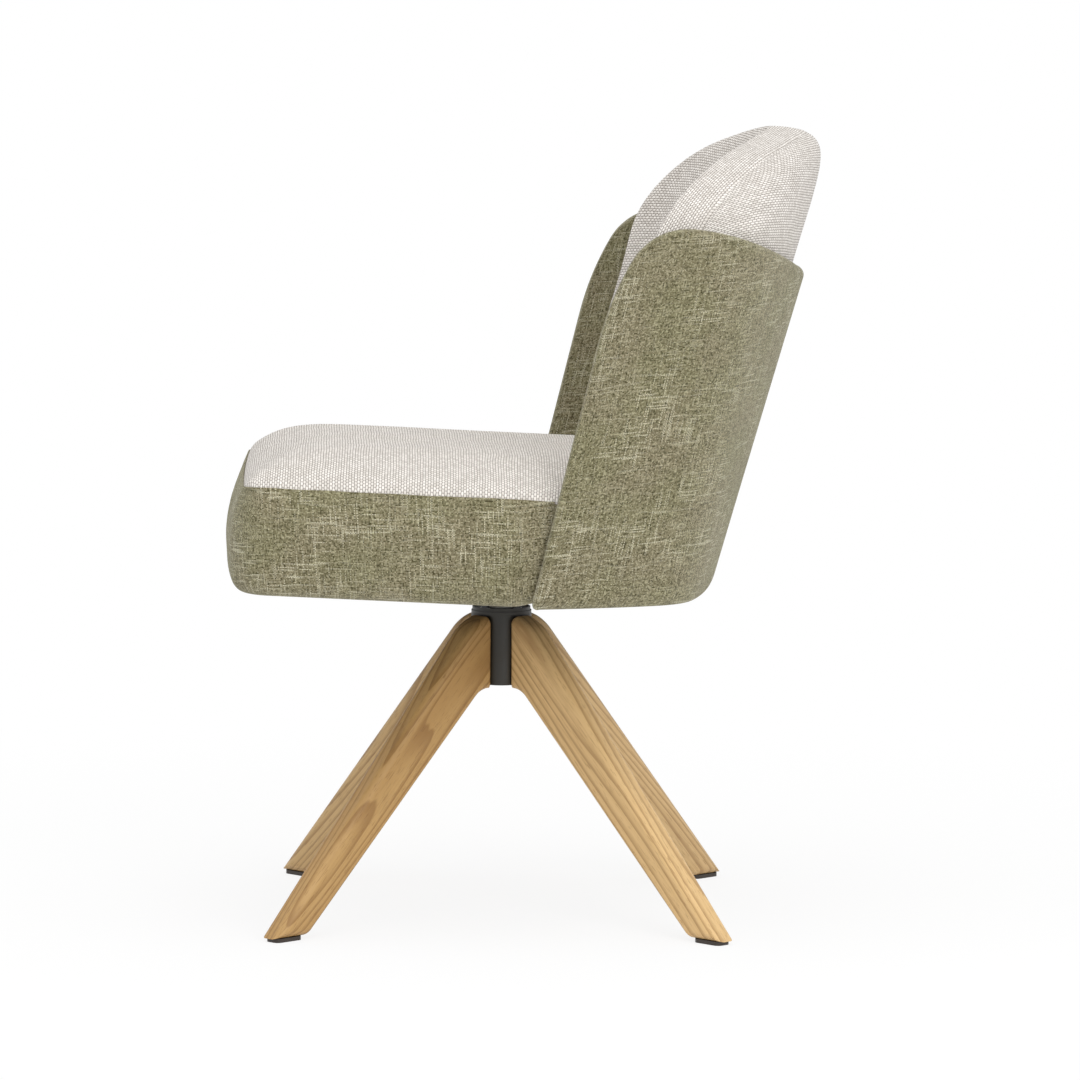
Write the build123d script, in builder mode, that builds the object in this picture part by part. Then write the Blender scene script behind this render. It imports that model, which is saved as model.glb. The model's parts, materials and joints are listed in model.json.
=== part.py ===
from build123d import *
from math import asin, atan2, cos, degrees, hypot, radians, sin, sqrt, tan
import os

# A dining chair that swivels on a four-legged wooden base.
# Millimetres. +Z is up, the seat faces -Y and the sitter's left is +X. Every piece is drawn about the
# swivel axis and then set in the chair's own frame, whose origin is on the floor under its middle.
middle_behind_axis = 24.8   # from the swivel axis back to the middle of the chair

# ---------------------------------------------------------------- base: hub, legs and glides
base_turn = -2.0            # the base stands turned this many degrees under the seat
hub_bottom = 235.8          # lower end of the cast hub
hub_top = 311.4             # top of its round flange
hub_half = 27.2             # from the axis to each flat that carries a leg
hub_corner = 18.0           # rounding of the hub's corners between the legs
hub_flange_radius = 31.0
hub_flange_thickness = 2.8
hub_bore_radius = 15.0      # takes the bearing sleeve
hub_pocket_half = 17.0      # square pocket below the bore, where the leg bolts are turned
hub_pocket_height = 34.0
hub_pocket_corner = 2.0

leg_foot_radius = 324.8     # outer end of a foot, from the axis
leg_foot_length = 43.2      # length of the level cut on the floor side
leg_width_top = 29.6
leg_width_foot = 26.0
leg_end_drop = 3.0          # the legs' inner ends reach this far below the hub
leg_shoulder_run = 35.0     # the shoulder curve starts this far outside the hub's flat
leg_shoulder_fall = 19.8    # and this far below the flange
leg_crotch_run = 13.6       # from the flat to where the underside turns down
leg_crotch_flat = 2.4       # what is left of that run once the turn is rounded
leg_outer_round = 8.5       # rounding of the two long outer edges
leg_inner_round = 4.5

glide_thickness = 4.0
glide_length = 35.0
glide_width = 19.0
glide_corner = 6.0
glide_screw_radius = 2.0
glide_screw_length = 16.0
glide_screw_head = 3.8

# ---------------------------------------------------------------- leg joints
leg_bolt_radius = 4.0
leg_bolt_head_radius = 6.5
leg_bolt_head_length = 8.0
leg_bolt_reach = 17.0       # thread inside the leg
washer_thickness = 1.6
leg_washer_radius = 8.0
insert_radius = 6.0
insert_length = 19.0
dowel_below_flange = 22.6
dowel_radius = 4.0
dowel_in_hub = 8.0
dowel_in_leg = 18.0
socket_depth = 3.0          # hexagon sockets in the screw heads

# ---------------------------------------------------------------- swivel bearing
flange_radius = 30.0        # bearing flange on top of the hub
flange_thickness = 2.8
flange_rim_width = 1.6
flange_rim_height = 0.8
sleeve_wall = 2.9
bush_wall = 1.95
bush_length = 14.0
bush_collar_radius = 16.0
bush_collar_thickness = 1.5
flange_screw_circle = 22.8
flange_screw_radius = 2.5
flange_screw_length = 14.0
flange_screw_head_radius = 4.0
flange_screw_head_height = 2.4
flange_washer_radius = 5.4
flange_washer_thickness = 1.0
spindle_radius = 10.0
spindle_groove_depth = 0.9
boss_radius = 13.7
ring_thickness = 1.2
ring_width = 3.0
thrust_washer_radius = 14.0
thrust_washer_thickness = 1.5
spindle_tail = 3.5          # spindle below the retaining ring

# ---------------------------------------------------------------- seat
seat_tilt = 2.5             # the seat falls to the rear by this angle
seat_bottom = 340.4         # lower edge of the seat's side band over the axis
seat_front = 285.5          # from the axis to the front face, along the seat
band_height = 106.5         # from the lower edge to the top seam
band_round = 14.0           # the band rounds in to its lower edge and to the seam
seat_corner = 40.0          # plan radius of the front corners
seat_front_bow = 6.0        # the front edge bows forward this far
seat_crown = 46.5           # rise of the top panel over the seam
crown_shoulder_run = 36.0   # the top panel climbs steeply over this run
crown_shoulder_rise = 35.0
board_thickness = 12.0
board_lift = 5.0            # board above the band's lower edge
board_margin = 8.0          # band foam outside the board's edge
plate_size = 176.0
plate_thickness = 4.0
plate_corner = 22.0
plate_screw_spacing = 132.0
plate_screw_radius = 3.0
plate_screw_head_radius = 5.6
plate_screw_head_height = 3.2
tnut_barrel_radius = 4.0
tnut_flange_radius = 9.5
tnut_flange_thickness = 1.5
tnut_length = 10.0
cover_thickness = 0.8
cover_margin = 5.0

# ---------------------------------------------------------------- back shell and back cushion
shell_bottom = 337.0
shell_top = 830.0           # height of the upper guide outline, above the trimmed edge
shell_thickness = 12.0
shell_half_width = 246.0
shell_rear = 214.0          # rear of the lower outline, from the axis
shell_lean = 0.2926         # the rear wall moves back this far for each millimetre up
low_widest, low_side, low_corner, low_rear = -20.0, 420.0, 75.0, 600.0
top_widest, top_side, top_corner, top_rear = 60.0, 900.0, 140.0, 290.0
wing_foot = 22.0            # front edge of the wings at the shell's lower edge
wing_knee = (88.0, 604.0)   # (Y, Z) where the straight front edge starts to curve
wing_shoulder = (122.0, 686.0)
wing_peak = (182.0, 716.0)
shell_rear_top = (308.0, 658.0)

face_foot = 137.0           # front of the back cushion on the centre line, at the shell's lower edge
face_lean = 0.28            # it moves back this far for each millimetre up
face_radius_foot = 386.0    # plan radius of its hollow front face at the shell's lower edge
face_radius_top = 262.0     # and at the upper guide outline
cushion_top = 811.0
cushion_arch = 380.0        # radius of the arch along the top
cushion_corner = 100.0      # radius of its shoulders
cushion_corner_x = 113.0    # their centres, from the middle
cushion_side_lean = 9.3     # degrees the sides draw in towards the top
cushion_recess = 3.5        # the cushion's rear stands this far inside the shell
cushion_edge_round = 9.0
panel_thickness = 9.0
panel_depth = 26.0          # inner panel behind the cushion's front face
panel_margin = 30.0

bracket_width = 40.0
bracket_foot = 34.0
bracket_height = 50.0
bracket_thickness = 3.0
bracket_stand_off = 0.8     # the flat upright lies on a wall that curves round it
bracket_behind_seat = 36.0  # side brackets, behind the seat foam's rear at the wall
bracket_screw_spacing = 24.0
bracket_screw_inset = 16.0
shell_screw_height = 26.0   # above the seat's lower plane
wood_screw_radius = 2.2
wood_screw_head_radius = 4.2
wood_screw_head_height = 2.4
wood_screw_length = 11.0
shell_screw_radius = 3.0
shell_screw_reach = 7.0
panel_screw_length = 24.0
panel_screw_angles = (-22, -8, 8, 22)

# ---------------------------------------------------------------- clearances
fit = 0.3                   # soft and curved faces that lie against each other
hole_fit = 0.1              # radial, round screws, dowels, bushes and the sleeve
running_fit = 0.05          # radial, spindle in its bushes
running_gap = 0.3           # axial, at the thrust faces

# ---------------------------------------------------------------- derived places
hub_flange_bottom = hub_top - hub_flange_thickness
leg_bolt_height = hub_bottom + hub_pocket_height / 2
dowel_height = hub_flange_bottom - dowel_below_flange
leg_end_bottom = hub_bottom - leg_end_drop
flange_top = hub_top + flange_thickness
sleeve_bottom = hub_bottom + hub_pocket_height
sleeve_length = hub_top - sleeve_bottom
sleeve_outer = hub_bore_radius - hole_fit
sleeve_inner = sleeve_outer - sleeve_wall
bush_outer = sleeve_inner - hole_fit
bush_inner = spindle_radius + running_fit
boss_bottom = flange_top + bush_collar_thickness + running_gap
lower_collar_bottom = sleeve_bottom - bush_collar_thickness
thrust_top = lower_collar_bottom - running_gap
ring_top = thrust_top - thrust_washer_thickness
groove_radius = spindle_radius - spindle_groove_depth
spindle_bottom = ring_top - ring_thickness - spindle_tail
inner_inset = shell_thickness + fit
wall_half_width = shell_half_width - shell_thickness
foam_rear_at_wall = face_foot - face_radius_foot + sqrt(face_radius_foot**2 - wall_half_width**2)
bracket_back = foam_rear_at_wall + bracket_behind_seat
leg_angles = {
    "front_left": base_turn - 45,
    "front_right": base_turn - 135,
    "rear_left": base_turn + 45,
    "rear_right": base_turn + 135,
}

tilt_sin = sin(radians(seat_tilt))
tilt_cos = cos(radians(seat_tilt))
seat_plane = Plane(origin=(0, 0, seat_bottom), x_dir=(1, 0, 0), z_dir=(0, tilt_sin, tilt_cos))
board_top = board_lift + board_thickness
hub_plane = Plane.XY.rotated((0, 0, 45 + base_turn))


def radial_plane(angle):
    """Upright plane through the axis: x runs outward at this angle, y runs up."""
    a = radians(angle)
    return Plane(origin=(0, 0, 0), x_dir=(cos(a), sin(a), 0), z_dir=(sin(a), -cos(a), 0))


def outward_plane(angle, radius, height):
    """Upright plane that faces outward at this angle, its origin at this radius and height."""
    a = radians(angle)
    origin = (radius * cos(a), radius * sin(a), height)
    return Plane(origin=origin, x_dir=(-sin(a), cos(a), 0), z_dir=(cos(a), sin(a), 0))


def finish(piece, label):
    """Name a finished piece and write it."""
    placed = piece.moved(Location((0, -middle_behind_axis, 0)))
    placed.label = label
    export_step(placed, f"parts/{label}.step")
    print(label, len(placed.solids()), "solid(s),", round(placed.volume / 1000, 2), "cm3")


# ================================================================ base hub
with BuildPart() as base_hub:
    with BuildSketch(hub_plane.offset(hub_bottom)):
        RectangleRounded(2 * hub_half, 2 * hub_half, hub_corner)
    extrude(amount=hub_flange_bottom - hub_bottom)
    with BuildSketch(hub_plane.offset(hub_flange_bottom)):
        Circle(hub_flange_radius)
    extrude(amount=hub_flange_thickness)
    with BuildSketch(hub_plane.offset(hub_bottom)):
        RectangleRounded(2 * hub_pocket_half, 2 * hub_pocket_half, hub_pocket_corner)
    extrude(amount=hub_pocket_height, mode=Mode.SUBTRACT)
    with BuildSketch(hub_plane.offset(hub_bottom)):
        Circle(hub_bore_radius)
    extrude(amount=hub_top - hub_bottom, mode=Mode.SUBTRACT)
    for angle in leg_angles.values():
        with BuildSketch(outward_plane(angle, 0, leg_bolt_height)):
            Circle(leg_bolt_radius + hole_fit)
        extrude(amount=hub_half + 1, mode=Mode.SUBTRACT)
        with BuildSketch(outward_plane(angle, hub_half - dowel_in_hub - fit, dowel_height)):
            Circle(dowel_radius + hole_fit)
        extrude(amount=dowel_in_hub + 1, mode=Mode.SUBTRACT)
    with BuildSketch(hub_plane.offset(hub_top)):
        with PolarLocations(flange_screw_circle, 4):
            Circle(flange_screw_radius + hole_fit)
    extrude(amount=-flange_screw_length, mode=Mode.SUBTRACT)
finish(base_hub.part, "base_hub")


# ================================================================ legs
def edges_along(part, angle, outer):
    """The two long edges on the leg's outer (or inner) side, for rounding."""
    a = radians(angle)
    middle_run = (leg_foot_radius - leg_foot_length / 2 - hub_half)
    chosen = []
    for edge in part.edges():
        point = edge.center()
        run = point.X * cos(a) + point.Y * sin(a)
        across = -point.X * sin(a) + point.Y * cos(a)
        middle = hub_half + middle_run * (hub_flange_bottom - point.Z) / hub_flange_bottom
        long_edge = edge.length > leg_width_top * 1.02
        if long_edge and abs(across) > leg_width_foot / 4 and (run > middle) == outer:
            chosen.append(edge)
    return chosen


def make_leg(angle):
    """A leg sawn from one plank: deep at the hub, slim at the foot, level at both ends."""
    foot_inner = leg_foot_radius - leg_foot_length
    shoulder = (hub_half + leg_shoulder_run, hub_flange_bottom - leg_shoulder_fall)
    with BuildPart() as leg:
        with BuildSketch(radial_plane(angle)) as profile:
            with BuildLine():
                outer = Line((leg_foot_radius, glide_thickness), shoulder)
                top = (hub_half, hub_flange_bottom - fit)
                TangentArc(outer @ 1, top, tangent=outer % 1)
                Polyline(
                    top,
                    (hub_half, leg_end_bottom),
                    (hub_half + leg_crotch_run, leg_end_bottom),
                    (foot_inner, glide_thickness),
                    (leg_foot_radius, glide_thickness),
                )
            make_face()
            crotch_place = (hub_half + leg_crotch_run, leg_end_bottom, 0)
            crotch = profile.vertices().sort_by_distance(crotch_place)[0]
            fall = atan2(leg_end_bottom - glide_thickness, foot_inner - hub_half - leg_crotch_run)
            fillet(crotch, (leg_crotch_run - leg_crotch_flat) / tan(fall / 2))
        extrude(amount=leg_width_top, both=True)
        with BuildSketch(outward_plane(angle, 0, 0)):
            with BuildLine():
                Polyline(
                    (-leg_width_foot / 2, 0),
                    (leg_width_foot / 2, 0),
                    (leg_width_top / 2, hub_top),
                    (-leg_width_top / 2, hub_top),
                    close=True,
                )
            make_face()
        extrude(amount=leg_foot_radius * 1.1, mode=Mode.INTERSECT)
        fillet(edges_along(leg.part, angle, True), leg_outer_round)
        fillet(edges_along(leg.part, angle, False), leg_inner_round)
        with BuildSketch(outward_plane(angle, hub_half, leg_bolt_height)):
            Circle(insert_radius + hole_fit)
        extrude(amount=insert_length + 1, mode=Mode.SUBTRACT)
        with BuildSketch(outward_plane(angle, hub_half, dowel_height)):
            Circle(dowel_radius + hole_fit)
        extrude(amount=dowel_in_leg + 1, mode=Mode.SUBTRACT)
        with BuildSketch(Plane.XY.offset(glide_thickness)):
            with PolarLocations(leg_foot_radius - leg_foot_length / 2, 1, start_angle=angle):
                Circle(glide_screw_radius + hole_fit)
        extrude(amount=glide_screw_length, mode=Mode.SUBTRACT)
    return leg.part


def make_glide(angle):
    """A hard pad under a foot, held by one sunk screw."""
    centre = leg_foot_radius - leg_foot_length / 2
    with BuildPart() as glide:
        with BuildSketch():
            with PolarLocations(centre, 1, start_angle=angle):
                RectangleRounded(glide_length, glide_width, glide_corner)
        extrude(amount=glide_thickness)
        with BuildSketch():
            with PolarLocations(centre, 1, start_angle=angle):
                Circle(glide_screw_head + hole_fit)
        extrude(amount=glide_thickness / 2, mode=Mode.SUBTRACT)
        with BuildSketch():
            with PolarLocations(centre, 1, start_angle=angle):
                Circle(glide_screw_radius + hole_fit)
        extrude(amount=glide_thickness, mode=Mode.SUBTRACT)
    return glide.part


for corner, angle in leg_angles.items():
    finish(make_leg(angle), f"leg_{corner}")
    finish(make_glide(angle), f"foot_glide_{corner}")

with BuildPart() as glide_screws:
    foot_places = PolarLocations(leg_foot_radius - leg_foot_length / 2, 4, start_angle=45 + base_turn)
    with BuildSketch(Plane.XY.offset(glide_thickness / 2)):
        with foot_places:
            Circle(glide_screw_head)
    extrude(amount=-glide_thickness / 2 + fit)
    with BuildSketch(Plane.XY.offset(glide_thickness / 2)):
        with foot_places:
            Circle(glide_screw_radius)
    extrude(amount=glide_thickness / 2 + glide_screw_length - 1)
finish(glide_screws.part, "glide_screws")

# ================================================================ leg bolts, washers, inserts, dowels
with BuildPart() as leg_bolts:
    head_outer = hub_pocket_half - washer_thickness
    for angle in leg_angles.values():
        with BuildSketch(outward_plane(angle, head_outer - leg_bolt_head_length, leg_bolt_height)):
            Circle(leg_bolt_head_radius)
        extrude(amount=leg_bolt_head_length)
        with BuildSketch(outward_plane(angle, head_outer, leg_bolt_height)):
            Circle(leg_bolt_radius)
        extrude(amount=hub_half - head_outer + leg_bolt_reach)
        with BuildSketch(outward_plane(angle, head_outer - leg_bolt_head_length, leg_bolt_height)):
            RegularPolygon(leg_bolt_radius * 0.85, 6)
        extrude(amount=socket_depth, mode=Mode.SUBTRACT)
finish(leg_bolts.part, "leg_bolts")

with BuildPart() as leg_bolt_washers:
    for angle in leg_angles.values():
        with BuildSketch(outward_plane(angle, hub_pocket_half - washer_thickness, leg_bolt_height)):
            Circle(leg_washer_radius)
            Circle(leg_bolt_radius + hole_fit, mode=Mode.SUBTRACT)
        extrude(amount=washer_thickness)
finish(leg_bolt_washers.part, "leg_bolt_washers")

with BuildPart() as leg_inserts:
    for angle in leg_angles.values():
        with BuildSketch(outward_plane(angle, hub_half, leg_bolt_height)):
            Circle(insert_radius)
            Circle(leg_bolt_radius + hole_fit, mode=Mode.SUBTRACT)
        extrude(amount=insert_length)
finish(leg_inserts.part, "leg_inserts")

with BuildPart() as leg_dowels:
    for angle in leg_angles.values():
        with BuildSketch(outward_plane(angle, hub_half - dowel_in_hub, dowel_height)):
            Circle(dowel_radius)
        extrude(amount=dowel_in_hub + dowel_in_leg)
finish(leg_dowels.part, "leg_dowels")

# ================================================================ swivel bearing in the hub
with BuildPart() as bearing_flange:
    with BuildSketch(hub_plane.offset(hub_top)):
        Circle(flange_radius)
    extrude(amount=flange_thickness)
    with BuildSketch(hub_plane.offset(flange_top)):
        Circle(flange_radius)
        Circle(flange_radius - flange_rim_width, mode=Mode.SUBTRACT)
    extrude(amount=flange_rim_height)
    with BuildSketch(hub_plane.offset(sleeve_bottom)):
        Circle(sleeve_outer)
    extrude(amount=sleeve_length)
    with BuildSketch(hub_plane.offset(sleeve_bottom)):
        Circle(sleeve_inner)
    extrude(amount=sleeve_length + flange_thickness, mode=Mode.SUBTRACT)
    with BuildSketch(hub_plane.offset(hub_top)):
        with PolarLocations(flange_screw_circle, 4):
            Circle(flange_screw_radius + hole_fit)
    extrude(amount=flange_thickness, mode=Mode.SUBTRACT)
finish(bearing_flange.part, "bearing_flange")

with BuildPart() as flange_washers:
    with BuildSketch(hub_plane.offset(flange_top)):
        with PolarLocations(flange_screw_circle, 4):
            Circle(flange_washer_radius)
            Circle(flange_screw_radius + hole_fit, mode=Mode.SUBTRACT)
    extrude(amount=flange_washer_thickness)
finish(flange_washers.part, "flange_washers")

with BuildPart() as flange_screws:
    head_bottom = flange_top + flange_washer_thickness
    shank_length = flange_screw_length - 1 + flange_thickness + flange_washer_thickness
    with BuildSketch(hub_plane.offset(head_bottom)):
        with PolarLocations(flange_screw_circle, 4):
            Circle(flange_screw_head_radius)
    extrude(amount=flange_screw_head_height)
    with BuildSketch(hub_plane.offset(head_bottom)):
        with PolarLocations(flange_screw_circle, 4):
            Circle(flange_screw_radius)
    extrude(amount=-shank_length)
    with BuildSketch(hub_plane.offset(head_bottom + flange_screw_head_height)):
        with PolarLocations(flange_screw_circle, 4):
            RegularPolygon(flange_screw_radius * 0.7, 6)
    extrude(amount=-flange_screw_head_height / 2, mode=Mode.SUBTRACT)
finish(flange_screws.part, "flange_screws")


def make_bush(tube_bottom, collar_bottom):
    """A plain bush: a tube in the sleeve with a collar on its outer end."""
    with BuildPart() as bush:
        with BuildSketch(Plane.XY.offset(tube_bottom)):
            Circle(bush_outer)
        extrude(amount=bush_length)
        with BuildSketch(Plane.XY.offset(collar_bottom)):
            Circle(bush_collar_radius)
        extrude(amount=bush_collar_thickness)
        with BuildSketch(Plane.XY.offset(min(tube_bottom, collar_bottom))):
            Circle(bush_inner)
        extrude(amount=bush_length + bush_collar_thickness, mode=Mode.SUBTRACT)
    return bush.part


finish(make_bush(flange_top - bush_length, flange_top), "upper_bush")
finish(make_bush(sleeve_bottom, lower_collar_bottom), "lower_bush")

# ================================================================ swivel spindle and what holds it down
with BuildPart() as swivel_spindle:
    with BuildSketch(Plane.XY.offset(spindle_bottom)):
        Circle(spindle_radius)
    extrude(amount=boss_bottom - spindle_bottom)
    with BuildSketch(Plane.XY.offset(boss_bottom)):
        Circle(boss_radius)
    extrude(amount=seat_bottom - boss_bottom + board_lift)
    with BuildSketch(Plane.XY.offset(ring_top - ring_thickness - hole_fit)):
        Circle(spindle_radius)
        Circle(groove_radius, mode=Mode.SUBTRACT)
    extrude(amount=ring_thickness + 2 * hole_fit, mode=Mode.SUBTRACT)
    split(bisect_by=seat_plane.offset(board_lift - plate_thickness), keep=Keep.BOTTOM)
finish(swivel_spindle.part, "swivel_spindle")

with BuildPart() as thrust_washer:
    with BuildSketch(Plane.XY.offset(ring_top)):
        Circle(thrust_washer_radius)
        Circle(spindle_radius + hole_fit, mode=Mode.SUBTRACT)
    extrude(amount=thrust_washer_thickness)
finish(thrust_washer.part, "thrust_washer")

with BuildPart() as retaining_ring:
    ring_inner = groove_radius + hole_fit
    with BuildSketch(Plane.XY.offset(ring_top - ring_thickness)):
        Circle(ring_inner + ring_width)
        Circle(ring_inner, mode=Mode.SUBTRACT)
        with Locations((ring_inner + ring_width / 2, 0)):
            Rectangle(2 * ring_width, ring_width, mode=Mode.SUBTRACT)
    extrude(amount=ring_thickness)
finish(retaining_ring.part, "retaining_ring")


# ================================================================ guide volumes for the shell and what it holds
def u_outline(half_width, widest, side_radius, corner_radius, rear_radius, rear, inset):
    """Closed U outline: side, corner and rear arcs that meet in tangents, drawn in by the inset."""
    side_x = half_width - side_radius
    rear_y = rear - rear_radius
    to_side = side_radius - corner_radius
    to_rear = rear_radius - corner_radius
    apart = hypot(side_x, widest - rear_y)
    along = (to_side**2 - to_rear**2 + apart**2) / (2 * apart)
    off = sqrt(to_side**2 - along**2)
    unit_x = -side_x / apart
    unit_y = (rear_y - widest) / apart
    corner_x = side_x + along * unit_x - off * unit_y
    corner_y = widest + along * unit_y + off * unit_x
    reach = corner_radius - inset
    side_join = (
        corner_x + reach * (corner_x - side_x) / to_side,
        corner_y + reach * (corner_y - widest) / to_side,
    )
    rear_join = (
        corner_x + reach * corner_x / to_rear,
        corner_y + reach * (corner_y - rear_y) / to_rear,
    )
    width = half_width - inset
    front = -2 * seat_front
    with BuildLine() as outline:
        Line((width, front), (width, widest))
        TangentArc((width, widest), side_join, tangent=(0, 1))
        side_slope = (-(side_join[1] - widest), side_join[0] - side_x)
        TangentArc(side_join, rear_join, tangent=side_slope)
        ThreePointArc(rear_join, (0, rear - inset), (-rear_join[0], rear_join[1]))
        TangentArc((-side_join[0], side_join[1]), (-rear_join[0], rear_join[1]),
                   tangent=(-side_slope[0], side_slope[1]))
        TangentArc((-width, widest), (-side_join[0], side_join[1]), tangent=(0, 1))
        Line((-width, widest), (-width, front))
        Line((-width, front), (width, front))
    return outline.line


def shell_volume(inset):
    """The tapering U-shaped body inside which everything soft lies, drawn in by the inset."""
    top_of_rear = shell_rear + shell_lean * (shell_top - shell_bottom)
    low = u_outline(shell_half_width, low_widest, low_side, low_corner, low_rear, shell_rear, inset)
    high = u_outline(shell_half_width, top_widest, top_side, top_corner, top_rear, top_of_rear, inset)
    with BuildPart() as volume:
        with BuildSketch(Plane.XY.offset(shell_bottom)):
            add(low)
            make_face()
        with BuildSketch(Plane.XY.offset(shell_top)):
            add(high)
            make_face()
        loft(ruled=True)
    return volume.part


def face_volume(inset):
    """A leaning, tapering round column: its rear wall is the hollow front face of the back cushion."""
    face_top = face_foot + face_lean * (shell_top - shell_bottom)
    growth = (face_radius_top - face_radius_foot) / (shell_top - shell_bottom)
    with BuildPart() as column:
        for height in (shell_bottom - board_top, shell_top):
            up = height - shell_bottom
            radius = face_radius_foot + growth * up
            front = face_foot + (face_top - face_foot) * up / (shell_top - shell_bottom)
            with BuildSketch(Plane.XY.offset(height)):
                with Locations((0, front - radius)):
                    Circle(radius - inset)
        loft(ruled=True)
    return column.part


def arch_volume(margin):
    """Front view of the back cushion, as deep as the chair: leaning sides, round shoulders, flat arch."""
    corner = cushion_corner - margin
    arch = cushion_arch - margin
    top = cushion_top - margin
    lean = radians(cushion_side_lean)
    corner_z = top - arch + sqrt((arch - corner) ** 2 - cushion_corner_x**2)
    spring = (cushion_corner_x + corner * cos(lean), corner_z + corner * sin(lean))
    foot_z = shell_bottom - board_top
    foot_x = spring[0] + (spring[1] - foot_z) * tan(lean)
    join_x = arch * cushion_corner_x / (arch - corner)
    join = (join_x, top - arch + sqrt(arch**2 - join_x**2))
    with BuildPart() as volume:
        with BuildSketch(Plane.XZ):
            with BuildLine():
                Line((foot_x, foot_z), spring)
                TangentArc(spring, join, tangent=(-sin(lean), cos(lean)))
                ThreePointArc(join, (0, top), (-join[0], join[1]))
                TangentArc((-spring[0], spring[1]), (-join[0], join[1]), tangent=(sin(lean), cos(lean)))
                Polyline((-spring[0], spring[1]), (-foot_x, foot_z), (foot_x, foot_z))
            make_face()
        extrude(amount=-2 * seat_front)
    return volume.part


def above_board():
    """Everything over the seat board's upper face."""
    with BuildPart() as space:
        with BuildSketch(seat_plane.offset(board_top)):
            Rectangle(4 * shell_half_width, 4 * shell_half_width)
        extrude(amount=shell_top)
    return space.part


def wall_plane(side):
    """Plane on the shell's inner wall where a bracket stands; it faces outward, y runs up the wall."""
    height = seat_bottom + shell_screw_height
    if side == "rear":
        ray = Axis((0, 0, height), (0, 1, 0))
    elif side == "left":
        ray = Axis((0, bracket_back, height), (1, 0, 0))
    else:
        ray = Axis((0, bracket_back, height), (-1, 0, 0))
    point, normal = inner_wall.find_intersection_points(ray)[-1]
    if normal.dot(ray.direction) < 0:
        normal = -normal
    return Plane(origin=point, x_dir=(-normal.Y, normal.X, 0), z_dir=normal)


# ================================================================ back shell
inner_wall = shell_volume(shell_thickness)
bracket_sides = ("left", "right", "rear")
wall_planes = {side: wall_plane(side) for side in bracket_sides}
shell_screw_places = GridLocations(bracket_screw_spacing, 0, 2, 1).local_locations

with BuildPart() as back_shell:
    add(shell_volume(0))
    add(inner_wall, mode=Mode.SUBTRACT)
    with BuildSketch(Plane.YZ):
        with BuildLine():
            foot = (wing_foot, shell_bottom)
            Line((wing_foot, shell_bottom - 1), foot)
            edge = Line(foot, wing_knee)
            bend = TangentArc(wing_knee, wing_shoulder, tangent=edge % 1)
            crest = TangentArc(wing_shoulder, wing_peak, tangent=bend % 1)
            fall = TangentArc(wing_peak, shell_rear_top, tangent=crest % 1)
            Polyline(
                shell_rear_top,
                (2 * shell_rear, shell_bottom + shell_thickness),
                (2 * shell_rear, shell_bottom - 1),
                (wing_foot, shell_bottom - 1),
            )
        make_face()
    extrude(amount=2 * shell_half_width, both=True, mode=Mode.INTERSECT)
    for plane in wall_planes.values():
        with BuildSketch(plane.offset(-bracket_stand_off)):
            with Locations(*shell_screw_places):
                Circle(shell_screw_radius + hole_fit)
        extrude(amount=bracket_stand_off + shell_screw_reach, mode=Mode.SUBTRACT)
finish(back_shell.part, "back_shell")


# ================================================================ shell brackets and their screws
def bracket_foot_place(side):
    """Where a bracket's foot meets the wall, in the seat's own plane, and the way the wall faces."""
    plane = wall_planes[side]
    spot = seat_plane.to_local_coords(plane.origin)
    heading = degrees(atan2(plane.z_dir.Y, plane.z_dir.X))
    return Location((spot.X, spot.Y, 0), (0, 0, heading))


def make_bracket(side, growth):
    """An L bracket: foot under the seat board, upright against the shell; grown for its pocket."""
    plane = wall_planes[side]
    foot_bottom = board_lift - bracket_thickness - growth
    depth = bracket_thickness + 2 * growth
    with BuildPart() as bracket:
        with BuildSketch(seat_plane.offset(foot_bottom)):
            with Locations(bracket_foot_place(side)):
                Rectangle(2 * bracket_foot, bracket_width + 2 * growth)
        extrude(amount=depth)
        with BuildSketch(plane.offset(-bracket_stand_off - bracket_thickness - growth)):
            with Locations((0, bracket_height - shell_screw_height + growth)):
                Rectangle(bracket_width + 2 * growth, 2 * bracket_height, align=(Align.CENTER, Align.MAX))
        extrude(amount=depth)
        split(bisect_by=plane.offset(growth - bracket_stand_off), keep=Keep.BOTTOM)
        split(bisect_by=seat_plane.offset(foot_bottom), keep=Keep.TOP)
        if growth == 0:
            with BuildSketch(seat_plane.offset(foot_bottom)):
                with Locations(bracket_foot_place(side)):
                    with Locations(*foot_screw_places(side)):
                        Circle(wood_screw_radius + hole_fit)
            extrude(amount=board_lift, mode=Mode.SUBTRACT)
            with BuildSketch(plane):
                with Locations(*shell_screw_places):
                    Circle(shell_screw_radius + hole_fit)
            extrude(amount=-bracket_height / 2, mode=Mode.SUBTRACT)
    return bracket.part


def foot_screw_places(side):
    """Places of the two screws in a bracket's foot, from the wall inward."""
    inward = -bracket_foot + bracket_screw_inset / 2
    return [(inward, -bracket_screw_spacing / 2), (inward, bracket_screw_spacing / 2)]


def bracket_pocket(side):
    """The hollow in the foam round a bracket and the heads of its shell screws."""
    with BuildPart() as pocket:
        add(make_bracket(side, fit))
        with BuildSketch(wall_planes[side].offset(-bracket_stand_off - bracket_thickness)):
            with Locations(*shell_screw_places):
                Circle(wood_screw_head_radius + fit)
        extrude(amount=-wood_screw_head_height - fit)
    return pocket.part


for side in bracket_sides:
    finish(make_bracket(side, 0), f"shell_bracket_{side}")

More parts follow.
